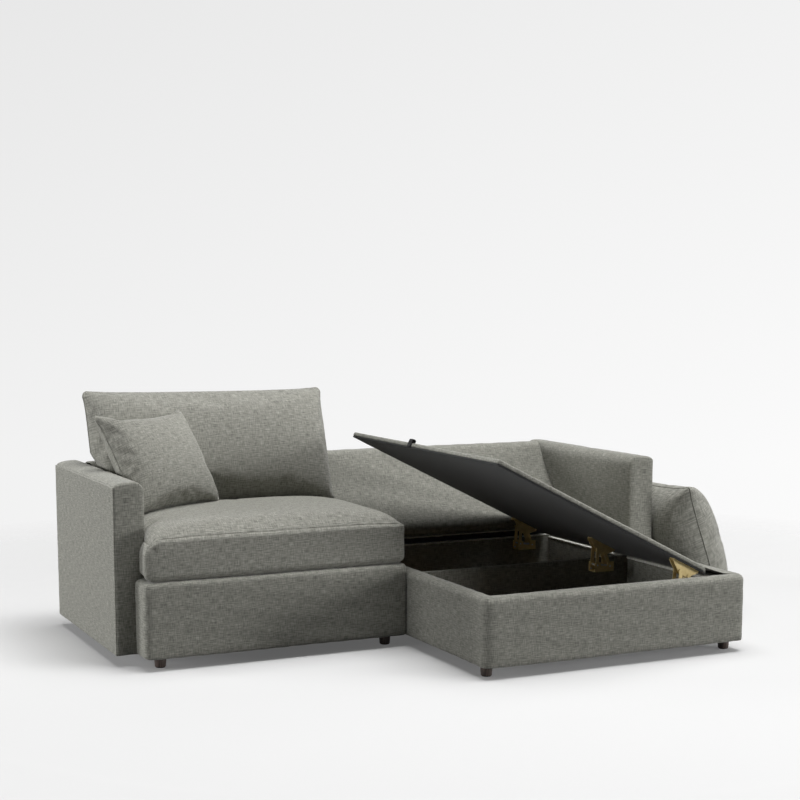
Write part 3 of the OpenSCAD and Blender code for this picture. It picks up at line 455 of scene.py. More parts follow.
def swelling(patches, pressure, tightness, cap):
    """How air pressure moves a sewn cloth form whose seams are a little too short, which puckers its panels:
    for each of its grids, the way that each point goes, and never further than cap."""
    steps = 20
    points, faces, uvs, number = welded(patches)
    made = mesh_of("cloth_form", points, faces)
    corner = np.concatenate(faces)
    low, high = np.full((len(points), 2), 1e9), np.full((len(points), 2), -1e9)
    np.minimum.at(low, corner, uvs)
    np.maximum.at(high, corner, uvs)
    sewn = np.nonzero((high - low).max(1) > 1e-5)[0]
    group = made.vertex_groups.new(name="sewn")
    group.add(sewn.tolist(), 1.0, "REPLACE")
    cloth = made.modifiers.new("cloth", "CLOTH")
    cloth.point_cache.frame_start, cloth.point_cache.frame_end = 1, steps
    how = cloth.settings
    how.quality, how.mass, how.air_damping = 6, 0.4, 4
    how.tension_stiffness = how.compression_stiffness = 25
    how.shear_stiffness, how.bending_stiffness = 12, 1.5
    how.use_pressure, how.uniform_pressure_force = True, pressure
    how.effector_weights.gravity = 0
    how.vertex_group_shrink, how.shrink_max = "sewn", tightness
    for at in range(1, steps + 1):
        bpy.context.scene.frame_set(at)
    done = made.evaluated_get(bpy.context.evaluated_depsgraph_get()).data
    moved = np.empty(len(points) * 3)
    done.vertices.foreach_get("co", moved)
    moved = moved.reshape(-1, 3) - shift - points
    moved -= moved.mean(0)
    far = np.linalg.norm(moved, axis=1, keepdims=True)
    moved = moved * (np.tanh(far / cap) * cap / np.maximum(far, 1e-9))
    bpy.context.scene.frame_set(1)
    bpy.data.objects.remove(made)
    fields, start = [], 0
    for p, _, _ in patches:
        count = p.shape[0] * p.shape[1]
        fields.append(moved[number[start:start + count]].reshape(p.shape))
        start += count
    return fields


def swollen(form, pressure, tightness, cap, times=3):
    """A cushion's fine grids, moved as the cloth simulation moved the coarse ones."""
    fine = form(times)
    fields = swelling(form(1), pressure, tightness, cap)
    return [(p + smooth_field(field, *p.shape[:2]), uv, flip) for (p, uv, flip), field in zip(fine, fields)]


upholstery = woven("upholstery", (0.236, 0.235, 0.206))
cushion_cloth = woven("cushion_cloth", (0.257, 0.255, 0.225))
lining_cloth = woven("lining_cloth", (0.238, 0.238, 0.210), sheen=0.1)
# Painted highlight: the pale colour of the rolled edges stands for the light they catch, far paler than the
# lining itself
edge_highlight_cloth = plain_cloth("edge_highlight_cloth", (0.78, 0.78, 0.72))
dark_lining = plain_cloth("dark_lining", (0.032, 0.033, 0.033), pitch=0.0008)
black_cloth = plain_cloth("black_cloth", (0.012, 0.012, 0.012), pitch=0.0009)
tape_cloth = plain_cloth("tape_cloth", (0.009, 0.009, 0.010), pitch=0.0016)
pine = timber("pine", (0.62, 0.42, 0.23), (0.42, 0.26, 0.13))
ply = timber("ply", (0.60, 0.45, 0.28), (0.47, 0.33, 0.19), pitch=0.05)
foot_wood = timber("foot_wood", (0.098, 0.072, 0.060), (0.044, 0.032, 0.027), pitch=0.006, roughness=0.4)
zinc = plated("zinc", (0.76, 0.61, 0.30), (0.62, 0.48, 0.21), 0.68, 0.1)
steel = plated("steel", (0.86, 0.85, 0.83), (0.70, 0.69, 0.68), 0.34, 0.4)


# Arms

def arm_top(x):
    """Height of a left arm across it: a quarter ellipse from the outer seam up to the crest, and a quarter
    circle down over the inner edge."""
    crest_x = arm_t - edge_r
    rise = seam_z + (crest_z - seam_z) * np.sqrt(np.clip(1 - ((crest_x - x) / (crest_x - skin)) ** 2, 0, 1))
    fall = crest_z - edge_r + np.sqrt(np.clip(edge_r ** 2 - (x - crest_x) ** 2, 0, None))
    return np.where(x < crest_x, rise, fall)


def arm_shape(turn):
    """Brings a block to the arm's height: each point keeps its share of the way from the base to the top. A
    slight dent in the top fades out as a bell curve along and across the arm."""
    def shape(p):
        x = np.clip(p[..., 0], skin, arm_t)
        p = p.copy()
        dent = 0.0035 * np.exp(-((p[..., 1] - 0.42) / 0.035) ** 2) * np.exp(-((x - 0.062) / 0.045) ** 2)
        share = (p[..., 2] - base_z) / (crest_z - base_z)
        p[..., 2] = base_z + share * (arm_top(x) - base_z - dent * (share > 0.97))
        return uneven(p, 0.0007, 0.13, turn)
    return shape


round_x = arm_t - edge_r + edge_r * np.sin(np.linspace(0, np.pi / 2, 10))
rise_x = skin + (arm_t - edge_r - skin) * (1 - np.cos(np.linspace(0, np.pi / 2, 9)))
arm_lines = np.concatenate([rise_x[:-1], round_x])


def arm(side, turn):
    """An arm's padded cover, and the flat panel on its outer side."""
    core = soft_box((skin, 0, base_z), (arm_t, sofa_d, crest_z), (0.003, 0.026, 0.010, 0.006, 0.008, 0.010),
                    pace, arm_shape(turn), lines={0: arm_lines, 1: stops(0, sofa_d, 0.010, 0.006, pace)})
    panel = soft_box((0, 0.003, base_z), (0.010, sofa_d, seam_z), (0.003, 0.004, 0.003, 0.004, 0.005, 0.003),
                     pace, unevenly(0.0004, 0.16, turn + 1))
    if side == "right":
        core, panel = mirrored(core), mirrored(panel)
    upholstered(side + "_arm", core, [side + "_arm_cover"])
    upholstered(side + "_arm_outer_panel", panel, [side + "_arm_side_panel"])


arm("left", 0.4)
arm("right", 2.9)


# Backs

def face_y(z, fullness=0.016):
    """How far back the raked face lies at a height. Its padding swells forward over the hem at its lower edge:
    the swelling is a quarter ellipse over its height, and dies away over the stretch above."""
    up = np.maximum(0, z - face_z)
    share = np.clip((up - roll_low) / roll_h, 0, 1)
    roll = fullness * np.sqrt(1 - (1 - share) ** 2) * np.clip(1 - (up - roll_top) / roll_fade, 0, 1) ** 1.5
    return seat_d + up * math.tan(rake) - roll


def back_outline(fullness):
    """The back's cross-section: a quarter ellipse from the rear edge's seam over the crown to the nose, an arc
    round the nose, the raked face down to its hem, and straight lines down, under and up the rear."""
    rear = sofa_d - panel_t
    nose_z = crest_z - edge_r
    nose_y = face_y(crest_z - edge_r * (1 - math.sin(rake)), fullness) + edge_r * math.cos(rake)
    crown = arc(nose_y, seam_z, rear - nose_y, crest_z - seam_z, np.linspace(0, np.pi / 2, 9))
    turn = arc(nose_y, nose_z, edge_r, edge_r, np.radians(np.linspace(95, 180 - math.degrees(rake), 9)))
    z = np.concatenate([np.linspace(turn[-1, 1] - 0.02, 0.46, 9), np.linspace(0.445, face_z + roll_top, 8),
                        face_z + roll_low + roll_h * (1 - np.sin(np.linspace(0, np.pi / 2, 13)[1:])),
                        [face_z + 0.006, face_z]])
    hem = arc(seat_d + 0.004, face_z + 0.003, 0.004, 0.004, np.radians(np.linspace(190, 270, 5)))
    return np.concatenate([crown, turn, joined(face_y(z, fullness), z)[:-1], hem,
                           [[seat_d + 0.012, face_z - 0.001]],
                           joined(seat_d + 0.020, np.linspace(face_z - 0.008, base_z + 0.004, 10)),
                           joined(np.linspace(seat_d + 0.024, rear - 0.004, 12), base_z),
                           joined(rear, np.linspace(base_z + 0.004, seam_z - 0.01, 20))])


def back(side, from_, to, turn, fullness):
    """A back's padded cover, and the flat panel on its rear."""
    patches, caps = swept(back_outline(fullness), from_, to, 0.006, pace, unevenly(0.0012, 0.17, turn))
    upholstered(side + "_back", patches, [side + "_back_cover"], caps)
    panel = soft_box((from_, sofa_d - panel_t, base_z), (to, sofa_d, seam_z), 0.004, 0.03,
                     unevenly(0.0005, 0.2, turn + 1))
    upholstered(side + "_back_outer_panel", panel, [side + "_back_panel"])


back("left", arm_t, meet_left, 1.3, 0.016)
back("right", meet_right, right_arm_x, 4.1, 0.042)


# Left seat's base, which wraps past the arm in front of it

def past_arm(p, edge, wrap_low):
    """Keeps a point out of the arm: behind the arm's front, the left side steps in from the wrap to the arm's
    inner face."""
    p = p.copy()
    p[..., 0] = np.maximum(p[..., 0], np.where(p[..., 1] > arm_front, edge, wrap_low))
    return p


base_y = np.concatenate([stops(-nose, -0.02, 0.028, 0.001, 0.016)[:-4], [-0.012, -0.006, -0.0035, -0.0004],
                         np.linspace(0.02, base_rear, 26)])
base = soft_box((wrap_x, -nose, base_z), (meet_left, base_rear, deck_h),
                (0.028, 0.010, 0.022, 0.006, 0.010, 0.017), 0.016,
                lambda p: past_arm(uneven(p, 0.0010, 0.12, 0.7), arm_t, wrap_x - 0.001), lines={1: base_y})
upholstered("left_base", base, ["left_base_cover", "left_deck_pad"])


# Storage box of the chaise: one padded wall carried round three sides

def wall_path(inset):
    """Plan of the wall's line, from the rear left corner round the front to the right arm: three straight runs,
    and a quarter circle round each front corner."""
    r = max(0.004, 0.034 - inset)
    left, right, front = meet_right + inset, chaise_side - inset, -chaise_nose + inset
    return np.concatenate([
        joined(left, np.linspace(base_rear, front + r + 0.012, 60)),
        arc(left + r, front + r, r, r, np.linspace(np.pi, 1.5 * np.pi, 9)),
        joined(np.linspace(left + r + 0.012, right - r - 0.012, 54), front),
        arc(right - r, front + r, r, r, np.linspace(1.5 * np.pi, 2 * np.pi, 9)),
        joined(right, np.linspace(front + r + 0.012, -gap - 0.0004, 36))])


def wall_profile():
    """Outline of the padded wall as (inset, height): the outer face, the rim with a wide quarter circle outside
    and a narrow one inside, and down the inner face."""
    wide, narrow = 0.024, 0.008
    return np.concatenate([
        [[0.008, base_z], [0.002, base_z + 0.002]],
        joined(0.0, np.linspace(base_z + 0.008, rim_h - 0.040, 16)),
        arc(wide, rim_h - wide, wide, wide, np.linspace(np.pi, np.pi / 2, 9)),
        arc(rim_t - narrow, rim_h - narrow, narrow, narrow, np.linspace(np.pi / 2, 0, 6)),
        joined(rim_t, np.linspace(rim_h - 0.012, base_z, 10)),
        [[0.008, base_z]]])


def box_wall():
    """The wall as its path at each inset of the profile, laid at that height, and nowhere above the rim."""
    profile = wall_profile()
    rings = np.stack([joined(*wall_path(inset).T, z) for inset, z in profile], 1)
    uv = joined(run_along(wall_path(0))[:, None], run_along(profile)[None])
    rings = uneven(rings, 0.0010, 0.13, 5.2)
    rings[..., 2] = np.minimum(rings[..., 2], rim_h - gap)
    return [(rings, uv, False)], [(p, places, not flip) for p, places, flip in caps_of(rings, uv)]


patches, caps = box_wall()
upholstered("box_wall", patches, ["storage_box_cover"], caps)


def ledge_edge(p):
    """Narrows each row of the ledge evenly in front of the arm, from the arm's inner face to the wall's."""
    p = p.copy()
    wide = np.where(p[..., 1] > -0.0015, right_arm_x, chaise_side - rim_t + 0.002)
    p[..., 0] = box_right + (p[..., 0] - box_right) * (wide - box_right) / (right_arm_x - box_right)
    return p


ledge_y = np.concatenate([np.linspace(box_front, -0.003, 30), [-0.001, 0.001],
                          np.linspace(0.02, ledge_rear, 20)])
ledge = soft_box((box_right, box_front, side_z - 0.012), (right_arm_x, ledge_rear, side_z + 0.003), 0.002, pace,
                 ledge_edge, lines={1: ledge_y})
upholstered("box_ledge", ledge)
walls = []
for turn, (low, high) in enumerate((
        ((box_left - lining_t, box_front - lining_t), (box_left, seat_d + lining_t)),
        ((box_right, box_front - lining_t), (box_right + lining_t, seat_d + lining_t)),
        ((box_left - 0.001, box_front - lining_t), (box_right + 0.001, box_front)),
        ((box_left - 0.001, seat_d), (box_right + 0.001, seat_d + lining_t)))):
    walls += soft_box((*low, floor_z), (*high, side_z), 0.002, pace, unevenly(0.0007, 0.11, turn + 0.3))
piece("box_lining", walls, lining_cloth, "sofa", ["storage_lining"])


def bead(name, from_, to, r):
    """A rolled edge of cloth whose pale colour is a painted highlight, standing for the light that it catches: a
    straight tube between two points, with a slight sine wave in its height.
    """
    steps = np.linspace(0, 1, 90)[:, None]
    line = np.array(from_) * (1 - steps) + np.array(to) * steps
    line[:, 2] += 0.0004 * np.sin(np.arange(90) * 1.1)
    patches, caps = tube(line, r)
    piece(name, patches, edge_highlight_cloth, "sofa", (), caps)


# Thin rolled edges along the lining's top and the back's hem, whose pale colour is a painted highlight
bead("rear_wall_edge", (box_left, seat_d + 0.002, side_z), (box_right, seat_d + 0.002, side_z), 0.0042)
bead("right_wall_edge", (box_right - 0.001, box_front, side_z - 0.010),
     (box_right - 0.001, ledge_rear, side_z - 0.010), 0.0046)
bead("back_hem", (meet_right + 0.004, seat_d + 0.001, face_z - 0.001),
     (right_arm_x - 0.004, seat_d + 0.001, face_z - 0.001), 0.0026)
band = soft_box((box_left - lining_t, 0.503, side_z), (right_arm_x, base_rear, 0.299), 0.002, 0.03,
                unevenly(0.0004, 0.09, 3.3))
piece("rear_band", band, black_cloth, "sofa", ["rear_strip"])
divider = soft_box((box_left, -0.100, 0.061), (box_right, -0.082, side_z - 0.002), 0.004, pace,
                   unevenly(0.0005, 0.12, 2.2))
piece("divider", divider, lining_cloth, "sofa", ["storage_divider"])


# Lid

def lid_edge(y):
    """Where the closed lid's hinged side lies: straight, but cut at 45 degrees at the front corner."""
    return lid_high[0] - np.maximum(0, lid_corner - (y - lid_low[1]))


def lid_shape(p):
    """Cuts the corner: every row of the lid is narrowed evenly to fit its hinged side."""
    p = p.copy()
    right = lid_edge(p[..., 1])
    p[..., 0] = lid_low[0] + (p[..., 0] - lid_low[0]) * (right - lid_low[0]) / (lid_high[0] - lid_low[0])
    return p


def lid_layer(inset, from_, to, r, turn):
    """A layer of the lid between two heights: a box with rounded edges, its corner cut, and opened."""
    low = np.array([lid_low[0] + inset, lid_low[1] + inset, from_])
    high = np.array([lid_high[0] - inset, lid_high[1] - inset, to])
    cut = low[1] + lid_corner
    y = np.concatenate([stops(low[1], cut, r[2], 0.002, 0.01), stops(cut, high[1], 0.002, r[3], pace)[1:]])
    return soft_box(low, high, r, pace, lambda p: opened(lid_shape(uneven(p, 0.0004, 0.14, turn))),
                    lines={1: y})


lid_top = lid_layer(0, lid_low[2] + 0.0065, lid_high[2], (0.006, 0.006, 0.006, 0.006, 0.003, 0.007), 1.1)
upholstered("lid_shell", lid_top, ["lid_cover"], body="lid")


def flap():
    """The strip of cloth that closes the gap beside the hinged edge: sewn on the lid's top, over its edge, and
    slack down to the inside of the rim. A smooth curve through seven knots, with a slight sine wave along it,
    and a second layer a thickness below."""
    y = np.linspace(lid_low[1] + 0.004, -0.004, 60)
    edge, top, inner = lid_edge(y), lid_high[2] + 0.0006, chaise_side - rim_t
    knots = np.stack([opened(joined(edge - 0.030, y, top)), opened(joined(edge - 0.012, y, top)),
                      opened(joined(edge - 0.001, y, top - 0.001)),
                      joined(inner - 0.050, y, rim_h + 0.008), joined(inner - 0.018, y, rim_h + 0.002),
                      joined(inner + 0.004, y, rim_h + 0.0012), joined(inner + 0.016, y, rim_h + 0.0010)])
    upper = smooth_field(knots, 37, len(y))
    run = run_along(upper[:, 30])
    upper[..., 2] += 0.0012 * np.sin(y * 40)[None] * np.sin(run / run[-1] * np.pi)[:, None]
    uv = joined(y[None], run[:, None])
    across = unit(np.cross(np.gradient(upper, axis=0), np.gradient(upper, axis=1)))
    lower = upper + 0.0011 * across * np.where(across[..., 2:] > 0, -1, 1)
    front, rear = (np.stack([upper[:, i], lower[:, i]], 1) for i in (0, -1))
    start, end = (np.stack([upper[i], lower[i]]) for i in (0, -1))
    edges = [(p, np.zeros(p.shape[:2] + (2,)), flip)
             for p, flip in ((front, False), (rear, True), (start, True), (end, False))]
    return [(upper, uv, True), (lower, uv, False)] + edges, run[-1], y[-1] - y[0]


patches, wide, long = flap()
made = piece("hinge_flap", patches, upholstery, None)
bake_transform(made)


def pull_tab():
    """A tape sewn round the lid's free edge: a flat bar along a smooth curve from under the lid, up past its
    edge, over in a loop and down onto its top."""
    x, low, high = lid_low[0], lid_low[2], lid_high[2]
    knots = np.array([[x + 0.006, low + 0.0040], [x + 0.001, low + 0.0040], [x - 0.0022, low + 0.007],
                      [x - 0.0024, high], [x - 0.0020, high + 0.011], [x + 0.004, high + 0.0135],
                      [x + 0.010, high + 0.010], [x + 0.011, high + 0.002], [x + 0.018, high + 0.0012]])
    line = smooth_field(knots[:, None], 65, 1)[:, 0]
    return tube(opened(joined(line[:, 0], -0.025, line[:, 1])), 0.0165, 12, flat=0.09, wide=(0, 1, 0))


patches, caps = pull_tab()
piece("pull_tab", patches, tape_cloth, "lid", ["lid_pull_tab"], caps)
lid_under = lid_layer(0.0015, lid_low[2], lid_low[2] + 0.0075, (0.003,) * 6, 2.7)
piece("lid_underside", lid_under, dark_lining, "lid", ["lid_lining"])


# Loose cushions

def swell(u, v, k):
    """How full a cushion is, as a share: the root of 1 - |u| to the power k[0], times 1 - |v| to the power
    k[1]."""
    return np.sqrt(np.clip((1 - np.abs(u) ** k[0]) * (1 - np.abs(v) ** k[1]), 0, 1))


def pillow(n, w, h, t, pull, k, at, right, up, ear=0.024, bow=7):
    """A knife-edge cushion as two panels that share their edge. u and v run over a panel from -1 to 1. Its
    sides, top and bottom are drawn in between the corners by pull, bowed the rounder the lower bow is, and its
    corners are rounded to a radius of ear. It is thickest in the middle: swell says how full it stays towards
    the edge."""
    right, up = unit(np.array(right, float)), unit(np.array(up, float))
    front = np.cross(right, up)
    share = lambda count: np.sin(np.linspace(-1, 1, count) * 1.25) / math.sin(1.25)
    u, v = np.meshgrid(share(n), share(round((n - 1) * h / w / 2) * 2 + 1), indexing="ij")
    x = u * (w / 2 - pull[0] * (1 - np.abs(v) ** bow))
    y = v * (h / 2 - np.where(v > 0, pull[1], pull[2]) * (1 - np.abs(u) ** bow))
    in_x, in_y = np.abs(x) - (w / 2 - ear), np.abs(y) - (h / 2 - ear)
    reach = np.hypot(np.maximum(in_x, 0), np.maximum(in_y, 0))
    round_ = np.minimum(1, np.maximum(in_x, in_y) / np.maximum(reach, 1e-9))
    round_ = np.where((in_x > 0) & (in_y > 0), round_, 1)
    x = np.sign(x) * np.where(in_x > 0, w / 2 - ear + in_x * round_, np.abs(x))
    y = np.sign(y) * np.where(in_y > 0, h / 2 - ear + in_y * round_, np.abs(y))
    half = t / 2 * swell(u, v, k)
    uv = joined(u * w / 2, v * h / 2)
    place = lambda side: (np.array(at) + x[..., None] * right + y[..., None] * up
                          + side * half[..., None] * front)
    return [(place(1), uv, False), (place(-1), uv + 1.3, True)]


def pillow_form(n, *measures):
    """A pillow whose grids can be made so many times finer."""
    return lambda times: pillow((n - 1) * times + 1, *measures)


def border(grid):
    """Points round the edge of a panel's grid, once round."""
    return np.concatenate([grid[:-1, 0], grid[-1, :-1], grid[:0:-1, -1], grid[0, :0:-1]])


def lip(grid, front):
    """The seam allowance that stands out as a thin lip round a knife edge, with a slight wave from its
    stitches."""
    width, thick = 0.0026, 0.0020
    path = border(grid)
    run = np.cumsum(np.linalg.norm(path - np.roll(path, 1, 0), axis=1))
    path = path + (0.0006 * np.sin(run * 2 * np.pi / 0.021))[:, None] * np.array(front)
    return tube(path, width, 8, True, thick / width, front)[0]


back_lean = math.radians(18.5)
back_up = np.array([0, math.sin(back_lean), math.cos(back_lean)])
back_at = np.array([(arm_t + section_w) / 2 - 0.032, 0.575, 0.695])
back_full = (5, 2.3)
lean_tilt = math.radians(20)
lean_up = np.array([-math.sin(lean_tilt), 0, math.cos(lean_tilt)])
lean_at = np.array([sofa_w + 0.088, 0.340, 0.530]) - 0.565 / 2 * lean_up
pillow_front = unit(np.array([0.32, -0.78, 0.54]))
pillow_right = unit(np.cross(np.array([-0.23, 0.48, 0.84]), pillow_front))
pillow_up = np.cross(pillow_front, pillow_right)
pillow_at = np.array([0.285, 0.386, 0.683]) - 0.008 * pillow_right + 0.002 * pillow_up


def beside_arm(y):
    """The left edge of the seat cushion's top: near the wrap's edge in front of the arm, and straight over to
    the arm's inner face beside it."""
    return wrap_x + 0.004 + (cushion_left - wrap_x - 0.004) * np.clip((y + 0.020) / 0.090, 0, 1)


def seat_top(x, y):
    """The seat cushion's crown over its seam: the root of 1 - u to the fourth times 1 - v to the fourth, where
    u and v run over the cushion from -1 to 1. Its left edge steps out past the arm in front of it."""
    left = beside_arm(y)
    u = (2 * x - left - cushion_right) / (cushion_right - left)
    v = (2 * y - cushion_front - cushion_back - 0.060) / (cushion_back + 0.060 - cushion_front)
    return seat_seam + seat_crown * np.sqrt(np.clip(1 - u ** 4, 0, 1) * np.clip(1 - v ** 4, 0, 1))


def rested_back(p):
    """Keeps the back cushion beside the left arm, in front of the raked face and above the seat cushion."""
    p = p.copy()
    beside = arm_t + 0.001 - 0.8 * np.maximum(0, p[..., 2] - crest_z)
    p[..., 0] = np.maximum(p[..., 0], beside)
    p[..., 1] = np.minimum(p[..., 1], face_y(p[..., 2]) - 0.002)
    p[..., 2] = np.maximum(p[..., 2], seat_top(p[..., 0], p[..., 1]) + 0.0015)
    return p


def back_front(p):
    """How far back the back cushion's front panel lies at a point: its half thickness in front of its leaning
    middle plane."""
    u = (p[..., 0] - back_at[0]) / 0.48
    height = p[..., 2] - back_at[2]

    def half(v):
        full = 0.1 * swell(u, np.clip(v / 0.235, -1, 1), back_full)
        return np.where((np.abs(u) < 1) & (np.abs(v) < 0.235), full, 0)
    first = half(height / back_up[2])
    v = (height - first * back_up[1]) / back_up[2]
    return back_at[1] + v * back_up[1] - half(v) * back_up[2]


def rested_pillow(p):
    """Keeps the throw pillow in front of the back cushion."""
    p = p.copy()
    p[..., 1] = np.minimum(p[..., 1], back_front(p) - 0.002)
    return p


def rested_lean(p):
    """Keeps the leaning cushion beside the right arm and above the floor."""
    p = p.copy()
    p[..., 0] = np.maximum(p[..., 0], sofa_w + gap)
    p[..., 2] = np.maximum(p[..., 2], 0.0)
    return p


def seat_form(times):
    """The seat cushion: an upright band and a crowned top, wrapping past the arm in front of it."""
    y = np.concatenate([stops(cushion_front, -0.02, 0.03, 0.001, 0.015)[:-4], [-0.014, -0.0035, -0.0012],
                        np.linspace(0.018, 0.47, 28), np.linspace(0.48, cushion_back, 4)])

    def shape(p):
        """Crowns the top, and draws the square upper corner of the left end onto a quarter circle."""
        p = p.copy()
        over = np.clip((p[..., 2] - seat_seam + 0.018) / 0.018, 0, 1) ** 2
        p[..., 2] += over * (seat_top(p[..., 0], p[..., 1]) - seat_seam) * 0.72
        r = 0.062
        out = np.clip((wrap_x + r - p[..., 0]) / r, 0, 1.3)
        up = np.clip((p[..., 2] - seat_seam + r) / r, 0, 4)
        share = np.maximum(out, up) / np.maximum(np.hypot(out, up), 1e-9)
        corner = (out > 0) & (up > 0)
        p[..., 0] = np.where(corner, wrap_x + r - r * out * share, p[..., 0])
        p[..., 2] = np.where(corner, seat_seam - r + r * up * share, p[..., 2])
        return p

    def seam(p):
        """Depth of the seam round the top, which runs out towards the wrap."""
        return 0.0016 * np.clip((p[..., 0] - wrap_x - 0.040) / 0.03, 0, 1) * (p[..., 2] > 0.4)
    return soft_box((wrap_x - 0.003, cushion_front, deck_h + gap),
                    (section_w + 0.010, cushion_back, seat_seam), (0.046, 0.032, 0.030, 0.022, 0.022, 0.006),
                    0.015, shape, {1: y}, seam if times > 1 else 0, times)


def rested_seat(p):
    """Keeps the seat cushion on its deck, in front of the back and in its section. At the rear its top stays
    under its crown, and at the left it falls off along a sine to its seam."""
    p = p.copy()
    p[..., 2] = np.maximum(p[..., 2], deck_h + gap)
    p[..., 1] = np.minimum(p[..., 1], cushion_back)
    p[..., 0] = np.minimum(p[..., 0], section_w)
    under = np.clip((p[..., 1] - 0.30) / 0.15, 0, 1)
    top = seat_top(p[..., 0], p[..., 1])
    p[..., 2] -= under * np.maximum(0, p[..., 2] - top)
    beside = np.clip((p[..., 0] - beside_arm(p[..., 1])) / 0.17, 0, 1)
    p[..., 2] = np.minimum(p[..., 2], seat_seam + 0.004 + 0.078 * np.sin(beside * np.pi / 2) ** 0.8)
    return past_arm(p, cushion_left, 0)


def cushion(name, form, rest, firm=(4.0, 0.025, 0.020), front=None):
    """A loose cushion: swollen by simulation, then kept out of what it rests against. front is the way that a
    knife-edge cushion faces."""
    patches = [(rest(p), uv, flip) for p, uv, flip in swollen(form, *firm)]
    if front is not None:
        patches += [(rest(p), uv, flip) for p, uv, flip in lip(patches[0][0], front)]
    piece(name + "_soft", patches, cushion_cloth, name, [name])


cushion("seat_cushion", seat_form, rested_seat, (4.0, 0.004, 0.020))
cushion("back_cushion", pillow_form(61, 1.010, 0.488, 0.200, (0.006, -0.004, 0.004), back_full, back_at,
                                    (1, 0, -0.009), back_up),
        rested_back, front=(0, -back_up[2], back_up[1]))
cushion("throw_pillow", pillow_form(33, 0.430, 0.430, 0.175, (0.012, 0.034, 0.004), (2.1, 2.1), pillow_at,
                                    pillow_right, pillow_up, 0.034, 3),
        rested_pillow, front=pillow_front)
cushion("chaise_back_cushion", pillow_form(61, 0.965, 0.570, 0.27, (0.014, 0.010, 0.010), (8, 2.8), lean_at,
                                           (0, 1, 0), lean_up),
        rested_lean, front=np.cross((0, 1, 0), lean_up))


# Feet, springs, and the cloth under and inside the sections

def foot_form(at, from_, to, r_low, r_high, edge):
    """A turned foot that widens upwards, its two edges rounded by quarter circles."""
    a = np.linspace(0, np.pi / 2, 6)
    low = joined(r_low - edge + edge * np.sin(a), from_ + edge * (1 - np.cos(a)))
    return lathe(np.concatenate([low, arc(r_high - edge, to - edge, edge, edge, a)]), (*at, 0))


for side, places in (("left", [(x, y) for x in (0.142, 1.0057) for y in (-0.048, 0.770)]),
                     ("right", [(1.1063, -0.652), (2.097, -0.652), (1.1063, 0.770), (2.073, 0.770)])):
    patches, caps = together([foot_form(at, 0.003, base_z, 0.0192, 0.022, 0.0012) for at in places])
    piece(side + "_feet_turned", patches, foot_wood, "sofa", [side + "_feet"], caps)
    patches, caps = together([foot_form(at, 0.0, 0.0035, 0.0165, 0.0165, 0.001) for at in places])
    piece(side + "_glides_turned", patches, black_cloth, "sofa", (), caps)


def coil(from_, to, r, wire, turns):
    """A close-wound spring between two points of one upright plane: a wire that circles the line between them,
    and closes in on it near each end."""
    from_, to = np.array(from_), np.array(to)
    ahead = unit(to - from_)
    side = np.array([0, 1.0, 0])
    up = np.cross(side, ahead)
    t = np.linspace(0, 1, turns * 14 + 1)
    a = t * turns * 2 * np.pi
    swing = r * np.minimum(1, np.minimum(t, 1 - t) * 18)
    path = from_ + t[:, None] * (to - from_) + swing[:, None] * (np.cos(a)[:, None] * up
                                                                 + np.sin(a)[:, None] * side)
    return tube(path, wire, 6, up=side)


tray_x, tray_z = box_right - 0.179, side_z - 0.050
patches, caps = together([coil((tray_x + 0.012 + 0.0035, y + 0.0225, tray_z + 0.027),
                               (tray_x + 0.069 - 0.0035, y + 0.0225, tray_z + 0.020), 0.0037, 0.0007, 22)
                          for y in (seat_d - 0.045, -0.145, box_front)])
piece("coil_springs", patches, steel, "sofa", ["hinge_springs"], caps)


def under_cloth(name, low, high, node):
    """Black cloth tacked under a section, sagging a little between its edges: u (1 - u) v (1 - v), to a power
    that makes it fuller, where u and v run over it from 0 to 1."""
    def sag(p):
        p = p.copy()
        u = np.clip((p[..., 0] - low[0]) / (high[0] - low[0]), 0, 1)
        v = np.clip((p[..., 1] - low[1]) / (high[1] - low[1]), 0, 1)
        p[..., 2] -= 0.004 * (16 * u * (1 - u) * v * (1 - v)) ** 0.7
        return uneven(p, 0.0006, 0.16, low[0])
    patches = soft_box((*low, base_z + 0.0005), (*high, base_z + 0.0017), 0.0004, pace, sag)
    made = piece(name, patches, black_cloth, "sofa", [node])


under_cloth("left_under_cloth", (0.115, -0.106), (1.0577, 0.815), "left_dust_cover")
under_cloth("right_under_cloth", (1.0813, -0.710), (2.1125, 0.815), "right_dust_cover")


def straps(from_, to, node):
    """Three webbing straps across the raked posts of a back: flat bands, tipped back by the rake."""
    c, s = math.cos(rake), math.sin(rake)

    def lean(p):
        y, z = p[..., 1], p[..., 2]
        return joined(p[..., 0], seat_d + 0.020 + c * y + s * z, face_z - s * y + c * z)
    made = []
    for i in range(3):
        low = 0.030 + i * 0.100
        made += soft_box((from_ + 0.006, -0.002, low), (to - 0.006, 0, low + 0.060), 0.0006, pace,
                         lambda p: lean(uneven(p, 0.0003, 0.08, i + 1)))
    piece(node.split("_")[0] + "_straps", made, tape_cloth, "sofa", [node])


straps(arm_t, meet_left, "left_back_webbing")
straps(meet_right, right_arm_x, "right_back_webbing")


# Finishes of the parts that keep their own shape

for names, finish_of in (
        (("left_seat_frame", "left_arm_frame", "right_arm_frame", "left_back_frame", "right_back_frame",
          "storage_box_frame"), pine),
        (("storage_floor", "lid_board"), ply),
        (("left_seat_springs", "left_spring_clips", "left_arm_bolts", "right_arm_bolts", "left_foot_bolts",
          "right_foot_bolts", "lid_screws", "bracket_screws", "hinge_pins", "connector_tongues",
          "connector_sockets"), steel),
        (("hinge_lower_brackets", "hinge_left_arms", "hinge_right_arms", "hinge_upper_brackets"), zinc)):
    for node_name in names:
        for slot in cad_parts[node_name].material_slots:
            slot.link = "OBJECT"
            slot.material = finish_of


# Floor, light and camera

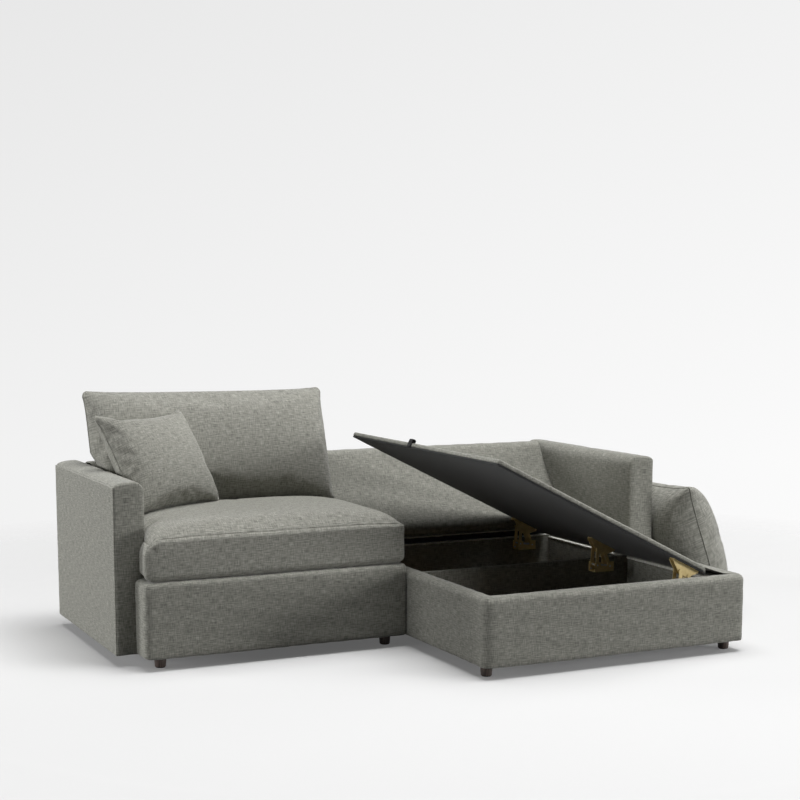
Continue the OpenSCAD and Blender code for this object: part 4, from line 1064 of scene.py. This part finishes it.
def light(name, at, towards, size, power):
    """A square lamp that lights a point, and isn't seen itself."""
    lamp = bpy.data.lights.new(name, "AREA")
    lamp.shape = "RECTANGLE"
    lamp.size = lamp.size_y = size
    lamp.energy = power
    made = bpy.data.objects.new(name, lamp)
    at, towards = np.array(at) + shift, np.array(towards) + shift
    made.location = at
    made.rotation_euler = Vector(towards - at).to_track_quat("-Z", "Y").to_euler()
    made.visible_camera = False
    bpy.context.collection.objects.link(made)


# Each lamp: the way round and the height that it stands at, both in degrees, its size and its power
middle, lamp_far = np.array([1.1, 0.1, 0.3]), 9.0
for name, round_, height, size, power in (
        ("top", 0, 89, 7.0, 630), ("front_high", 315, 70, 4.7, 451), ("left_low", 180, 8, 2.3, 229),
        ("left_rear", 150, 8, 2.3, 389), ("front_low", 315, 8, 2.3, 364), ("right_low", 0, 20, 4.7, 124)):
    round_, height = math.radians(round_), math.radians(height)
    way = np.array([math.cos(round_) * math.cos(height), math.sin(round_) * math.cos(height),
                    math.sin(height)])
    light(name, middle + lamp_far * way, middle, size, power)


def seen(start):
    """1 for rays from the camera and for mirrored or refracted ones, 0 for the light that falls on things."""
    rays = [start.node("ShaderNodeLightPath", "Is " + kind + " Ray")
            for kind in ("Camera", "Glossy", "Transmission")]
    return (rays[0] + rays[1] + rays[2]).clamp(0.0, 1.0)


def mixed(share, a, b):
    """Shader a where share is 0, b where it is 1."""
    made = share.node("ShaderNodeMixShader", 0, share)
    for socket, shader in zip(made.output.node.inputs[1:], (a, b)):
        share.tree.links.new(shader.output, socket)
    return made


# The floor keeps the sofa's shadow near it and fades into the backdrop further out
floor_far = 14
floor_mesh = bpy.data.meshes.new("floor")
floor_mesh.from_pydata([(-floor_far, -floor_far, 0), (floor_far, -floor_far, 0), (floor_far, floor_far, 0),
                        (-floor_far, floor_far, 0)], [], [(0, 1, 2, 3)])
floor = bpy.data.objects.new("floor", floor_mesh)
floor_paint, floor_shader, _, own = material("floor_paint", roughness=0.9)
floor_shader.inputs["Base Color"].default_value = (0.597, 0.597, 0.597, 1)
# Painted light: a faint glow, seen only by the camera and in reflections, lightens the sofa's shadow on the
# floor as bounced light would; the base colour is lowered to make up for it
floor_shader.inputs["Emission Color"].default_value = (1, 1, 1, 1)
floor_shader.inputs["Emission Strength"].default_value = 0.10
x, y, _ = own.parts()
far = x.math("SQRT", x * x + y * y).over(2.1, 3.8)
under = far.node("ShaderNodeBsdfDiffuse", 0, (0.15, 0.15, 0.15, 1))
painted = mixed(far, Reckoned(far.tree, floor_shader.outputs[0]), far.node("ShaderNodeBsdfTransparent", 0))
surface = mixed(seen(far), under, painted)
far.tree.links.new(surface.output, floor_paint.node_tree.nodes["Material Output"].inputs["Surface"])
floor_mesh.materials.append(floor_paint)
bpy.context.collection.objects.link(floor)

# The world lights faintly, and shows the camera a backdrop that is paler below and to the sofa's right
world = bpy.data.worlds.new("studio")
bpy.context.scene.world = world
world.use_nodes = True
fill = world.node_tree.nodes["Background"]
fill.inputs["Color"].default_value, fill.inputs["Strength"].default_value = (1, 1, 1, 1), 0.02
fill = Reckoned(world.node_tree, fill.outputs[0])
x, y, height = fill.node("ShaderNodeTexCoord", "Generated").parts()
wall = 0.924 - 0.081 * height.over(-0.10, 0.174) + 0.15 * (0.902 * x - 0.432 * y).clamp(-0.28, 0.28)
backdrop = mixed(seen(height), fill, wall.node("ShaderNodeBackground", 0, wall, 1.0))
height.tree.links.new(backdrop.output, world.node_tree.nodes["World Output"].inputs["Surface"])

view = bpy.data.cameras.new("camera")
view.lens, view.sensor_width, view.shift_y = 71.316, 36.0, 0.1276
camera = bpy.data.objects.new("camera", view)
camera.location = np.array([-1.4397, -5.2898, 1.2848]) + shift
camera.rotation_euler = (math.pi / 2 - 0.1294, 0, -0.4464)
bpy.context.collection.objects.link(camera)
bpy.context.scene.camera = camera
bpy.context.scene.view_settings.view_transform = "Standard"
